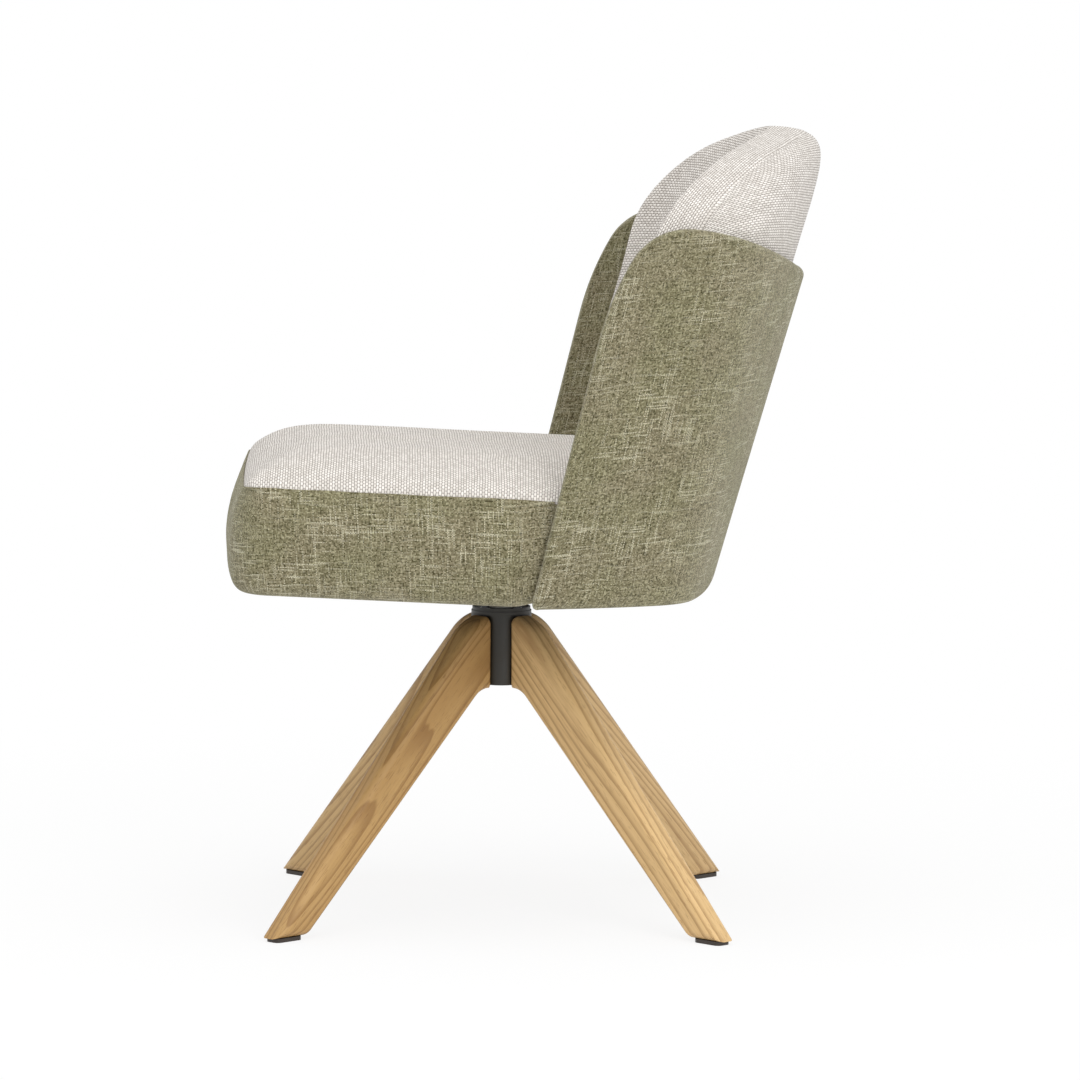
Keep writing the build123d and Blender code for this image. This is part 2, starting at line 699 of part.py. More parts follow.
with BuildPart() as bracket_screws:
    for side in bracket_sides:
        with BuildSketch(seat_plane.offset(board_lift - bracket_thickness)):
            with Locations(bracket_foot_place(side)):
                with Locations(*foot_screw_places(side)):
                    Circle(wood_screw_head_radius)
        extrude(amount=-wood_screw_head_height)
        with BuildSketch(seat_plane.offset(board_lift - bracket_thickness)):
            with Locations(bracket_foot_place(side)):
                with Locations(*foot_screw_places(side)):
                    Circle(wood_screw_radius)
        extrude(amount=wood_screw_length)
finish(bracket_screws.part, "bracket_screws")

with BuildPart() as shell_screws:
    for plane in wall_planes.values():
        upright_face = -bracket_stand_off - bracket_thickness
        with BuildSketch(plane.offset(upright_face)):
            with Locations(*shell_screw_places):
                Circle(wood_screw_head_radius)
        extrude(amount=-wood_screw_head_height)
        with BuildSketch(plane.offset(upright_face)):
            with Locations(*shell_screw_places):
                Circle(shell_screw_radius)
        extrude(amount=shell_screw_reach - upright_face - fit)
finish(shell_screws.part, "shell_screws")


# ================================================================ seat board, plate and what holds them
def seat_outline(inset):
    """Plan of the seat on its own plane: bowed front edge, round front corners, open sides."""
    half = shell_half_width - inner_inset - inset
    front = -(seat_front - inset)
    corner = seat_corner - inset
    rear = 2 * shell_rear
    bow_end = front + seat_front_bow
    with BuildLine() as outline:
        bow = ThreePointArc((-half + corner, bow_end), (0, front), (half - corner, bow_end))
        TangentArc(bow @ 1, (half, bow_end + corner), tangent=bow % 1)
        TangentArc(bow @ 0, (-half, bow_end + corner), tangent=-(bow % 0))
        Polyline((half, bow_end + corner), (half, rear), (-half, rear), (-half, bow_end + corner))
    return outline.line


def board_volume(growth):
    """The seat board: inside the shell by a margin all round; grown for its pocket in the foam."""
    inset = board_margin - growth
    with BuildPart() as board:
        with BuildSketch(seat_plane.offset(board_lift - growth)):
            add(seat_outline(inset))
            make_face()
        extrude(amount=board_thickness + growth)
        shell_sides = board_guide if growth == 0 else board_pocket_guide
        add(shell_sides, mode=Mode.INTERSECT)
    return board.part


def guide_down(inset):
    """The shell's guide body with a straight skirt below it, for pieces that dip under its edge."""
    low = u_outline(shell_half_width, low_widest, low_side, low_corner, low_rear, shell_rear, inset)
    with BuildPart() as guide:
        add(shell_volume(inset))
        with BuildSketch(Plane.XY.offset(shell_bottom)):
            add(low)
            make_face()
        extrude(amount=-4 * board_lift)
    return guide.part


board_guide = guide_down(inner_inset + board_margin)
board_pocket_guide = guide_down(inner_inset + board_margin - fit)
plate_screw_places = GridLocations(plate_screw_spacing, plate_screw_spacing, 2, 2)


def panel_screw_places():
    """Places on the seat plane of the screws that run up into the inner back panel."""
    growth = (face_radius_top - face_radius_foot) / (shell_top - shell_bottom)
    radius = face_radius_foot + growth * board_top + panel_depth + panel_thickness / 2
    middle = face_foot + face_lean * board_top + panel_depth + panel_thickness / 2 - radius
    return [
        (radius * sin(radians(turn)), middle + radius * cos(radians(turn)))
        for turn in panel_screw_angles
    ]


with BuildPart() as seat_plate:
    with BuildSketch(seat_plane.offset(board_lift - plate_thickness)):
        RectangleRounded(plate_size, plate_size, plate_corner)
        with plate_screw_places:
            Circle(plate_screw_radius + hole_fit, mode=Mode.SUBTRACT)
    extrude(amount=plate_thickness)
finish(seat_plate.part, "seat_plate")

with BuildPart() as plate_screws:
    with BuildSketch(seat_plane.offset(board_lift - plate_thickness)):
        with plate_screw_places:
            Circle(plate_screw_head_radius)
    extrude(amount=-plate_screw_head_height)
    with BuildSketch(seat_plane.offset(board_lift - plate_thickness)):
        with plate_screw_places:
            Circle(plate_screw_radius)
    extrude(amount=plate_thickness + board_thickness - 1)
    with BuildSketch(seat_plane.offset(board_lift - plate_thickness - plate_screw_head_height)):
        with plate_screw_places:
            RegularPolygon(plate_screw_radius * 0.7, 6)
    extrude(amount=plate_screw_head_height / 2, mode=Mode.SUBTRACT)
finish(plate_screws.part, "plate_screws")

with BuildPart() as board_nuts:
    with BuildSketch(seat_plane.offset(board_top - tnut_flange_thickness)):
        with plate_screw_places:
            Circle(tnut_flange_radius)
    extrude(amount=tnut_flange_thickness)
    with BuildSketch(seat_plane.offset(board_top - tnut_length)):
        with plate_screw_places:
            Circle(tnut_barrel_radius)
    extrude(amount=tnut_length)
    with BuildSketch(seat_plane.offset(board_top - tnut_length)):
        with plate_screw_places:
            Circle(plate_screw_radius + hole_fit)
    extrude(amount=tnut_length, mode=Mode.SUBTRACT)
finish(board_nuts.part, "board_nuts")

with BuildPart() as seat_board:
    add(board_volume(0))
    with BuildSketch(seat_plane.offset(board_lift)):
        with plate_screw_places:
            Circle(tnut_barrel_radius + hole_fit)
    extrude(amount=board_thickness, mode=Mode.SUBTRACT)
    with BuildSketch(seat_plane.offset(board_top)):
        with plate_screw_places:
            Circle(tnut_flange_radius + hole_fit)
    extrude(amount=-tnut_flange_thickness, mode=Mode.SUBTRACT)
    for side in bracket_sides:
        with BuildSketch(seat_plane.offset(board_lift)):
            with Locations(bracket_foot_place(side)):
                with Locations(*foot_screw_places(side)):
                    Circle(wood_screw_radius + hole_fit)
        extrude(amount=wood_screw_length, mode=Mode.SUBTRACT)
    with BuildSketch(seat_plane.offset(board_lift)):
        with Locations(*panel_screw_places()):
            Circle(wood_screw_radius + hole_fit)
    extrude(amount=board_thickness, mode=Mode.SUBTRACT)
    with BuildSketch(seat_plane.offset(board_lift)):
        with Locations(*panel_screw_places()):
            Circle(wood_screw_head_radius + hole_fit)
    extrude(amount=wood_screw_head_height, mode=Mode.SUBTRACT)
finish(seat_board.part, "seat_board")

with BuildPart() as dust_cover:
    with BuildSketch(seat_plane.offset(board_lift - cover_thickness)):
        add(seat_outline(board_margin + cover_margin))
        make_face()
        RectangleRounded(plate_size + 2 * fit, plate_size + 2 * fit, plate_corner, mode=Mode.SUBTRACT)
        for side in bracket_sides:
            with Locations(bracket_foot_place(side)):
                Rectangle(2 * bracket_foot + 1, bracket_width + 1, mode=Mode.SUBTRACT)
    extrude(amount=cover_thickness)
    add(guide_down(inner_inset + board_margin + cover_margin), mode=Mode.INTERSECT)
finish(dust_cover.part, "dust_cover")

# ================================================================ seat foam: side band and top panel
seat_guide = guide_down(inner_inset)
seat_rear_face = face_volume(fit)

with BuildPart() as seat_band:
    with BuildSketch(seat_plane):
        add(seat_outline(0))
        make_face()
    extrude(amount=band_height)
    rims = seat_band.faces().filter_by(seat_plane).edges()
    outer_rims = [edge for edge in rims if edge.center().Y < shell_rear]
    fillet(outer_rims, band_round)
    add(seat_guide, mode=Mode.INTERSECT)
    add(seat_rear_face, mode=Mode.INTERSECT)
    add(board_volume(fit), mode=Mode.SUBTRACT)
    with BuildSketch(seat_plane.offset(-1)):
        add(seat_outline(board_margin - fit))
        make_face()
    extrude(amount=board_lift + 1, mode=Mode.SUBTRACT)
    for side in bracket_sides:
        add(bracket_pocket(side), mode=Mode.SUBTRACT)
finish(seat_band.part, "seat_band")


def crown_line(seam, rise):
    """Half of the crown's outline from the seam inward: a steep shoulder, then a long low arc."""
    shoulder = (seam - crown_shoulder_run, band_height + crown_shoulder_rise)
    steep = (seam - crown_shoulder_run * 0.26, band_height + crown_shoulder_rise * 0.56)
    climb = ThreePointArc((seam, band_height), steep, shoulder)
    ThreePointArc(shoulder, (seam / 2, band_height + rise * 0.965), (0, band_height + rise))
    return climb


with BuildPart() as seat_top:
    side_seam = shell_half_width - inner_inset - band_round / 2
    front_seam = seat_front - band_round
    with BuildSketch(seat_plane.offset(band_height)):
        add(seat_outline(band_round))
        make_face()
    extrude(amount=seat_crown + 1)
    along = Plane(origin=seat_plane.origin, x_dir=-seat_plane.y_dir, z_dir=-seat_plane.x_dir)
    with BuildSketch(along):
        with BuildLine():
            crown_line(front_seam, seat_crown)
            Polyline(
                (0, band_height + seat_crown),
                (-2 * shell_rear, band_height + seat_crown - 4),
                (-2 * shell_rear, band_height),
                (front_seam, band_height),
            )
        make_face()
    extrude(amount=2 * shell_half_width, both=True, mode=Mode.INTERSECT)
    across = Plane(origin=seat_plane.origin, x_dir=seat_plane.x_dir, z_dir=-seat_plane.y_dir)
    with BuildSketch(across):
        with BuildLine():
            crown_line(side_seam, seat_crown)
            Line((side_seam, band_height), (0, band_height))
            Line((0, band_height), (0, band_height + seat_crown))
        make_face()
        mirror(about=Plane.YZ)
    extrude(amount=2 * shell_half_width, both=True, mode=Mode.INTERSECT)
    add(seat_guide, mode=Mode.INTERSECT)
    add(seat_rear_face, mode=Mode.INTERSECT)
finish(seat_top.part, "seat_top")

# ================================================================ back cushion and its inner panel
over_board = above_board()
crest_height = wing_peak[1] - 2 * cushion_corner / 5


def panel_volume(growth):
    """Curved plywood arch inside the back cushion; grown for its pocket in the foam."""
    with BuildPart() as panel:
        add(arch_volume(panel_margin - growth))
        add(shell_volume(inner_inset + panel_thickness - growth), mode=Mode.INTERSECT)
        add(face_volume(-panel_depth - panel_thickness - growth), mode=Mode.INTERSECT)
        add(face_volume(-panel_depth + growth), mode=Mode.SUBTRACT)
        add(over_board, mode=Mode.INTERSECT)
    return panel.part


panel_pocket = panel_volume(fit)

with BuildPart() as back_inner_panel:
    add(panel_volume(0))
    with BuildSketch(seat_plane.offset(board_top)):
        with Locations(*panel_screw_places()):
            Circle(wood_screw_radius + hole_fit)
    extrude(amount=panel_screw_length - board_thickness + 1, mode=Mode.SUBTRACT)
finish(back_inner_panel.part, "back_inner_panel")

with BuildPart() as panel_screws:
    with BuildSketch(seat_plane.offset(board_lift)):
        with Locations(*panel_screw_places()):
            Circle(wood_screw_head_radius)
    extrude(amount=wood_screw_head_height - hole_fit)
    with BuildSketch(seat_plane.offset(board_lift)):
        with Locations(*panel_screw_places()):
            Circle(wood_screw_radius)
    extrude(amount=panel_screw_length)
finish(panel_screws.part, "panel_screws")

with BuildPart() as back_cushion:
    add(arch_volume(0))
    add(shell_volume(shell_thickness + cushion_recess), mode=Mode.INTERSECT)
    add(face_volume(0), mode=Mode.SUBTRACT)
    front_faces = back_cushion.faces().filter_by(lambda face: face.normal_at().Y < -0.5)
    arch_edges = [edge for edge in front_faces.edges() if edge.center().Z > crest_height]
    fillet(arch_edges, cushion_edge_round)
    add(over_board, mode=Mode.INTERSECT)
    add(panel_pocket, mode=Mode.SUBTRACT)
    for side in bracket_sides:
        add(bracket_pocket(side), mode=Mode.SUBTRACT)
finish(back_cushion.part, "back_cushion")
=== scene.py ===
# %% [markdown]
# # Swivel dining chair
#
# An upholstered bucket seat on four splayed oak legs, which turns on a black hub. The rigid
# pieces come from the CAD frame and only get materials here. The upholstery is modelled again
# as cloth over foam, because its look is in its soft edges, its seams and its weave.

# %% Load the frame
import json
from math import asin, atan2, cos, exp, hypot, pi, radians, sin, sqrt, tan, tanh

import bmesh
import bpy
from mathutils import Matrix, Vector, noise


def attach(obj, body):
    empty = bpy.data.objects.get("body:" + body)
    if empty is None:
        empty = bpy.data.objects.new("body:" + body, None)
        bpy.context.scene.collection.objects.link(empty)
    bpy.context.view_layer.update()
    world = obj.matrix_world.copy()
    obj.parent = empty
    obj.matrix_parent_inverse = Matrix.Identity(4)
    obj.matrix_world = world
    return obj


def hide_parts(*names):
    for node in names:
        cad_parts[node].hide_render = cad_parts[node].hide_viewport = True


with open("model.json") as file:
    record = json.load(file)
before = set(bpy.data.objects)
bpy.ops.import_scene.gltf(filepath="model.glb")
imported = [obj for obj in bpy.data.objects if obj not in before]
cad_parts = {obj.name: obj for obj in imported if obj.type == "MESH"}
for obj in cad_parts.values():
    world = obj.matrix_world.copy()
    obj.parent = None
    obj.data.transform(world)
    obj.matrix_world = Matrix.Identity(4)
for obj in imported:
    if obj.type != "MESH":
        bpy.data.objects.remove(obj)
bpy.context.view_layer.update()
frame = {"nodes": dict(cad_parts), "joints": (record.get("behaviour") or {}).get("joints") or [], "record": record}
scene = bpy.context.scene

# %% [markdown]
# Everything is measured from the swivel axis. The joint in the frame says where that axis
# stands, and a few driving sizes of the upholstery follow, in metres. The base stands turned
# a little under the seat, as photographed.

# %% Driving sizes of the upholstery
joint = next(j for j in frame["joints"] if j["name"] == "swivel")
axis_x, axis_y, _ = joint["pos_m"]
base_turn = radians(-2.0)

shell_bottom = 0.337
guide_top = 0.830
shell_rear = 0.214
shell_rear_lean = 0.2926
shell_wall = 0.012
band_clearance = 0.0006
half_width = 0.246
wing_foot = (0.022, 0.337)
foot_round = 0.0070
wing_knee = (0.088, 0.604)
wing_shoulder = (0.122, 0.686)
wing_peak = (0.182, 0.716)
rear_top = (0.308, 0.663)

seat_tilt = radians(2.5)
seat_bottom = 0.3404
seat_front = 0.2855
band_height = 0.1065
seat_crown = 0.0368
swell_reach = 0.0265
seat_corner = 0.040
seam_sharper = 0.013
seat_bow = 0.006
seam_bow = 0.002

cushion_foot = 0.400
face_foot = 0.137
face_lean = 0.28
face_radius_foot = 0.386
face_radius_top = 0.262
cushion_top = 0.811
cushion_arch = 0.380
cushion_corner = 0.122
cushion_corner_x = 0.0913
cushion_side_lean = radians(9.3)
print("swivel axis at y =", round(axis_y, 4))


def clamped(t):
    """t, held between 0 and 1."""
    return max(0.0, min(1.0, t))


def eased(t):
    """A soft step from 0 to 1 while t goes from 0 to 1."""
    t = clamped(t)
    return t * t * (3 - 2 * t)


def partway(a, b, t):
    """The point at share t of the way from a to b."""
    return tuple(p + (q - p) * t for p, q in zip(a, b))


def mirrored(points):
    """Points from the left to the centre line, and their mirror images on to the right."""
    return points + [(-x, *rest) for x, *rest in reversed(points[:-1])]


# %% [markdown]
# Each upholstered piece is a grid of points, row by row, so that its weave can follow it. One
# helper turns such a grid into a mesh and keeps, as a UV map in metres, how far along and up
# the cloth every point lies. A cover sewn from several panels gives each panel its own lengths.

# %% Helper: a mesh from rows of points
def new_cloth():
    """An empty mesh with the UV map for the cloth's lengths."""
    build = bmesh.new()
    return build, build.loops.layers.uv.new("cloth")


def vertex_rows(build, rows):
    """rows: lists of (x, y, z) about the swivel axis."""
    return [[build.verts.new((x + axis_x, y + axis_y, z)) for x, y, z in row] for row in rows]


def add_faces(build, layer, rows, lengths):
    """Quads between rows of vertices, whose (u, v) in metres are in lengths."""
    for r in range(len(rows) - 1):
        for c in range(len(rows[r]) - 1):
            quad = ((r, c), (r, c + 1), (r + 1, c + 1), (r + 1, c))
            face = build.faces.new([rows[i][j] for i, j in quad])
            face.smooth = True
            for loop, (i, j) in zip(face.loops, quad):
                loop[layer].uv = lengths[i][j]


def cloth_piece(name, build):
    """Turns all faces outwards and makes the piece."""
    bmesh.ops.recalc_face_normals(build, faces=build.faces)
    mesh = bpy.data.meshes.new(name)
    build.to_mesh(mesh)
    build.free()
    piece = bpy.data.objects.new(name, mesh)
    scene.collection.objects.link(piece)
    return piece


def cloth_mesh(name, rows, panels):
    """panels: the last row of each panel, and the (u, v) of its own rows."""
    build, layer = new_cloth()
    verts = vertex_rows(build, rows)
    first = 0
    for last, lengths in panels:
        add_faces(build, layer, verts[first:last + 1], lengths)
        first = last
    return cloth_piece(name, build)


def climbing(rows):
    """Running length up each column of a grid of points."""
    table = [[0.0] * len(rows[0])]
    for lower, upper in zip(rows, rows[1:]):
        steps = [(Vector(b) - Vector(a)).length for a, b in zip(lower, upper)]
        table.append([before + step for before, step in zip(table[-1], steps)])
    return table


def lengths_of(spots):
    """Running length along a chain of points."""
    total = [0.0]
    for a, b in zip(spots, spots[1:]):
        total.append(total[-1] + (Vector(b) - Vector(a)).length)
    return total


def along_row(row):
    """Running length along one row, counted from its middle."""
    total = lengths_of(row)
    return [length - total[len(row) // 2] for length in total]


def smoothed(piece, levels):
    """Subdivision surface for round, even cloth."""
    modifier = piece.modifiers.new("round", "SUBSURF")
    modifier.levels = levels
    modifier.render_levels = levels
    return piece


# %% [markdown]
# A cover over foam is pushed out by what is under it and held where it is sewn or stapled. Cloth
# simulation gives that look: the sewn points are pinned, a light pressure acts from inside for
# twenty frames, and what moved is kept, but never more than a few millimetres. The cover starts
# a little sunken, so that it ends where it was drawn.

# %% Helper: press a cover out
sunken_share = 0.4
frame_count = 20


def press_out(piece, held, cap):
    """held: function of a vertex index, from 1 where the cover is sewn down to 0 where it is free.
    cap: the furthest that a point may move, in metres."""
    mesh = piece.data
    drawn = [(v.co.copy(), v.normal.copy()) for v in mesh.vertices]
    sunk = [sunken_share * cap * (1 - held(v.index)) for v in mesh.vertices]
    start = [co - normal * depth for (co, normal), depth in zip(drawn, sunk)]
    for vertex, place in zip(mesh.vertices, start):
        vertex.co = place
    sewn = piece.vertex_groups.new(name="sewn")
    for vertex in mesh.vertices:
        sewn.add([vertex.index], held(vertex.index), "REPLACE")
    cloth = piece.modifiers.new("pressure", "CLOTH")
    cloth.settings.vertex_group_mass = "sewn"
    cloth.settings.use_pressure = True
    cloth.settings.uniform_pressure_force = 4.0
    cloth.settings.effector_weights.gravity = 0
    cloth.settings.shrink_min = -0.004
    cloth.point_cache.frame_start, cloth.point_cache.frame_end = 1, frame_count
    for frame_number in range(1, frame_count + 1):
        scene.frame_set(frame_number)
    pressed = piece.evaluated_get(bpy.context.evaluated_depsgraph_get()).data
    moved = [v.co.copy() for v in pressed.vertices]
    piece.modifiers.remove(cloth)
    piece.vertex_groups.remove(sewn)
    scene.frame_set(1)
    for vertex, a, b in zip(mesh.vertices, start, moved):
        step = b - a
        if step.length > 1e-9:
            vertex.co = a + step * (cap * tanh(step.length / cap) / step.length)
    shifts = sorted((v.co - co).dot(normal) * 1000 for v, (co, normal) in zip(mesh.vertices, drawn))
    print(piece.name, "ends", round(shifts[0], 1), "to", round(shifts[-1], 1), "mm from where it was")
    return piece


# %% [markdown]
# The back shell is one bent wall. Its plan at two heights is a U of three arcs, and the wall
# runs in straight lines from the lower U to the upper one. That gives the wings their flare and
# the rear its lean with very few numbers. The same two outlines, drawn in by the wall's
# thickness, give the inner face.

# %% Plan of the back shell
straight_start = -0.563
low_plan = (-0.020, 0.420, 0.075, 0.600)
high_plan = (0.060, 0.900, 0.140, 0.290)
rear_s = 4.0


def u_arcs(widest, side_radius, corner_radius, rear_radius, rear, inset):
    """Centres, radii and joins of the U's three arcs on the sitter's left. The plans above give
    where the U is widest and its three radii; the sides run straight before that."""
    side_x = half_width - side_radius
    rear_y = rear - rear_radius
    to_side = side_radius - corner_radius
    to_rear = rear_radius - corner_radius
    apart = hypot(side_x, widest - rear_y)
    along = (to_side**2 - to_rear**2 + apart**2) / (2 * apart)
    off = sqrt(to_side**2 - along**2)
    unit = (-side_x / apart, (rear_y - widest) / apart)
    corner = (side_x + along * unit[0] - off * unit[1], widest + along * unit[1] + off * unit[0])
    side_end = atan2(corner[1] - widest, corner[0] - side_x)
    rear_start = atan2(corner[1] - rear_y, corner[0])
    return {
        "turns": (
            ((side_x, widest), side_radius - inset, 0.0, side_end),
            (corner, corner_radius - inset, side_end, rear_start),
            ((0.0, rear_y), rear_radius - inset, rear_start, pi / 2),
        ),
        "start": (half_width - inset, straight_start),
        "widest": (half_width - inset, widest),
    }


def u_point(arcs, s):
    """A point on the U: s runs 0-1 along the straight, then 1-4 over the side, corner and rear."""
    if s < 1:
        return partway(arcs["start"], arcs["widest"], s)
    number = min(int(s) - 1, 2)
    centre, radius, start, end = arcs["turns"][number]
    angle = start + (end - start) * (s - 1 - number)
    return (centre[0] + radius * cos(angle), centre[1] + radius * sin(angle))


def guide_outlines(inset):
    rear_of_top = shell_rear + shell_rear_lean * (guide_top - shell_bottom)
    return u_arcs(*low_plan, shell_rear, inset), u_arcs(*high_plan, rear_of_top, inset)


def wall_point(outlines, s, z):
    """The shell's wall at outline place s and height z."""
    t = (z - shell_bottom) / (guide_top - shell_bottom)
    return (*partway(u_point(outlines[0], s), u_point(outlines[1], s), t), z)


def halved(too_low, low, high, rounds=40):
    """The number up to which the test is true, found by halving."""
    for _ in range(rounds):
        middle = (low + high) / 2
        if too_low(middle):
            low = middle
        else:
            high = middle
    return (low + high) / 2


def place_at(outlines, y, z):
    """The outline place whose wall stands at this y, at height z."""
    return halved(lambda s: wall_point(outlines, s, z)[1] < y, 0.0, rear_s)


outer_wall = guide_outlines(0.0)
inner_wall = guide_outlines(shell_wall)
print("shell width at the seat", round(2 * wall_point(outer_wall, 1, 0.45)[0], 3))

# %% [markdown]
# The wall is trimmed by its side view: a straight front edge leaning back, an S over the wing
# and a long fall to the rear. The trim is kept as a chain of points on arcs that meet in
# tangents, the way a tailor's chalk line would run.

# %% Side view of the trim
def tangent_arc(start, end, direction, count):
    """Points on the arc that leaves start in this direction and meets end, and its last direction."""
    d = Vector(direction).normalized()
    chord = Vector(end) - Vector(start)
    normal = Vector((-d.y, d.x))
    centre = Vector(start) + normal * chord.length_squared / (2 * chord.dot(normal))
    a = Vector(start) - centre
    b = Vector(end) - centre
    turn = a.angle_signed(b) * -1
    points = []
    for i in range(1, count + 1):
        angle = turn * i / count
        c, s = cos(angle), sin(angle)
        points.append(tuple(centre + Vector((a.x * c - a.y * s, a.x * s + a.y * c))))
    last = Vector((d.x * cos(turn) - d.y * sin(turn), d.x * sin(turn) + d.y * cos(turn)))
    return points, last


def front_place(z):
    """The front edge at height z, rounded off at its foot."""
    t = (z - wing_foot[1]) / (wing_knee[1] - wing_foot[1])
    missing = max(0.0, foot_round - (z - wing_foot[1]))
    rounded = foot_round - sqrt(foot_round**2 - missing**2)
    return (wing_foot[0] + (wing_knee[0] - wing_foot[0]) * t + rounded, z)


foot_rise = [0.0, 0.0004, 0.0010, 0.0020, 0.0032, 0.0048, 0.0066, 0.0090]
wing_rise = wing_knee[1] - wing_foot[1]
rises = foot_rise + [0.013 + (wing_rise - 0.013) * i / 19 for i in range(20)]
straight = [front_place(wing_foot[1] + rise) for rise in rises]
bend, heading = tangent_arc(wing_knee, wing_shoulder, Vector(wing_knee) - Vector(wing_foot), 8)
crest, heading = tangent_arc(wing_shoulder, wing_peak, heading, 8)
fall, heading = tangent_arc(wing_peak, rear_top, heading, 16)
front_trim = straight + bend
top_trim = [bend[-1]] + crest + fall
print("trim points", len(front_trim), len(top_trim))


# %% [markdown]
# Between the trim, the bottom edge and the centre line lies a patch of wall. Blending its four
# borders, as a Coons patch does, spreads the rows and columns evenly, so that the cloth has no
# pinched quads at the wing's round top. The rows and columns next to the rim are closer, because
# that is where the cloth turns.

# %% The shell's wall as a grid
def at_share(chain, total, t):
    """The place at share t of a chain's length, whose running lengths are total."""
    target = t * total[-1]
    k = max(1, next((j for j, l in enumerate(total) if l >= target), len(total) - 1))
    f = (target - total[k - 1]) / max(1e-9, total[k] - total[k - 1])
    return partway(chain[k - 1], chain[k], f)


def trim_in_wall(outlines):
    """The top trim from the wing to the centre line, as (s, z) places in this wall."""
    total = lengths_of(top_trim)
    chain = []
    for i in range(161):
        y, z = at_share(top_trim, total, i / 160)
        behind = wall_point(outlines, 3.999, z)[1] - y
        if behind > 0:
            chain.append((place_at(outlines, y, z), z))
            last = z
    chain.append((rear_s, last))
    return chain


def chain_of(outlines, places):
    """A function that gives the place at a share of this chain's length."""
    total = lengths_of([wall_point(outlines, s, z) for s, z in places])
    return lambda t: at_share(places, total, t)


def coons(u, v, sides, corners):
    """Blend of the low, top, first and last side's values, less that of the four corners."""
    low, top, first, last = sides
    low_first, low_last, top_first, top_last = corners
    edges = (1 - v) * low + v * top + (1 - u) * first + u * last
    return edges - (
        (1 - u) * (1 - v) * low_first + u * (1 - v) * low_last
        + (1 - u) * v * top_first + u * v * top_last
    )


def wall_grid(outlines, shares_along, shares_up):
    """Points of half the wall at shares from the wing to the rear and from the bottom to the trim."""
    top_places = trim_in_wall(outlines)
    rear_height = top_places[-1][1]
    s_front = place_at(outlines, *front_trim[0])
    low_places = [(s_front + (rear_s - s_front) * i / 200, shell_bottom) for i in range(201)]
    top, low = chain_of(outlines, top_places), chain_of(outlines, low_places)
    front_total = lengths_of(front_trim)
    tops, lows = [top(u) for u in shares_along], [low(u) for u in shares_along]
    s_corners = (low(0.0)[0], rear_s, top(0.0)[0], rear_s)
    z_corners = (shell_bottom, shell_bottom, top(0.0)[1], rear_height)
    grid = []
    for v in shares_up:
        y, front_z = at_share(front_trim, front_total, v)
        front_s = place_at(outlines, y, front_z)
        rear_z = shell_bottom + (rear_height - shell_bottom) * v
        row = []
        for u, (top_s, top_z), (low_s, low_z) in zip(shares_along, tops, lows):
            s = coons(u, v, (low_s, top_s, front_s, rear_s), s_corners)
            z = coons(u, v, (low_z, top_z, front_z, rear_z), z_corners)
            row.append(wall_point(outlines, s, z))
        grid.append(row)
    return grid


shares_along = [0.010, 0.015, 0.024] + [0.04 + 0.96 * i / 32 for i in range(33)]
shares_up = [0.003, 0.009, 0.016, 0.026, 0.040] + [0.055 + 0.885 * i / 32 for i in range(33)]
shares_up += [0.956, 0.970, 0.980, 0.986]
print("shell grid", len(shares_up), "by", 2 * len(shares_along) - 1)

# %% [markdown]
# A shell of this kind is moulded ply or foam with the cloth pulled over both faces, so its rim is
# round and as thick as the wall. Both faces share one layout of points, and the rim is a half
# round between them whose crest follows the trim. At the bottom the outer face tucks under.

# %% Back shell
def both_halves(wall, along, up):
    return [mirrored(row) for row in wall_grid(wall, along, up)]


tuck_height = 0.016
tuck_share = 0.72


def tucked(outer, inner):
    """The outer face drawn in towards the inner one just above the shell's bottom edge."""
    rows = []
    for row, behind in zip(outer, inner):
        line = []
        for (x, y, z), (inner_x, inner_y, _) in zip(row, behind):
            t = max(0.0, 1 - (z - shell_bottom) / tuck_height)
            share = tuck_share * (1 - sqrt(max(0.0, 1 - t * t)))
            line.append((*partway((x, y), (inner_x, inner_y), share), z))
        rows.append(line)
    return rows


def rim_line(rows, step=0):
    """From the left front foot, over the trim, to the right front foot, step points in from the rim."""
    up, down = [row[step] for row in rows], [row[-1 - step] for row in reversed(rows)]
    return up[:-1] + list(rows[-1 - step]) + down[1:]


def wall_lengths(rows):
    """Cloth lengths on the wall: level round it and straight up, rising a little to the rear."""
    table = []
    for row in rows:
        around = along_row([(x, y, 0.0) for x, y, _ in row])
        table.append([(u, 1.04 * z + 0.14 * u * u) for u, (_, _, z) in zip(around, row)])
    return table


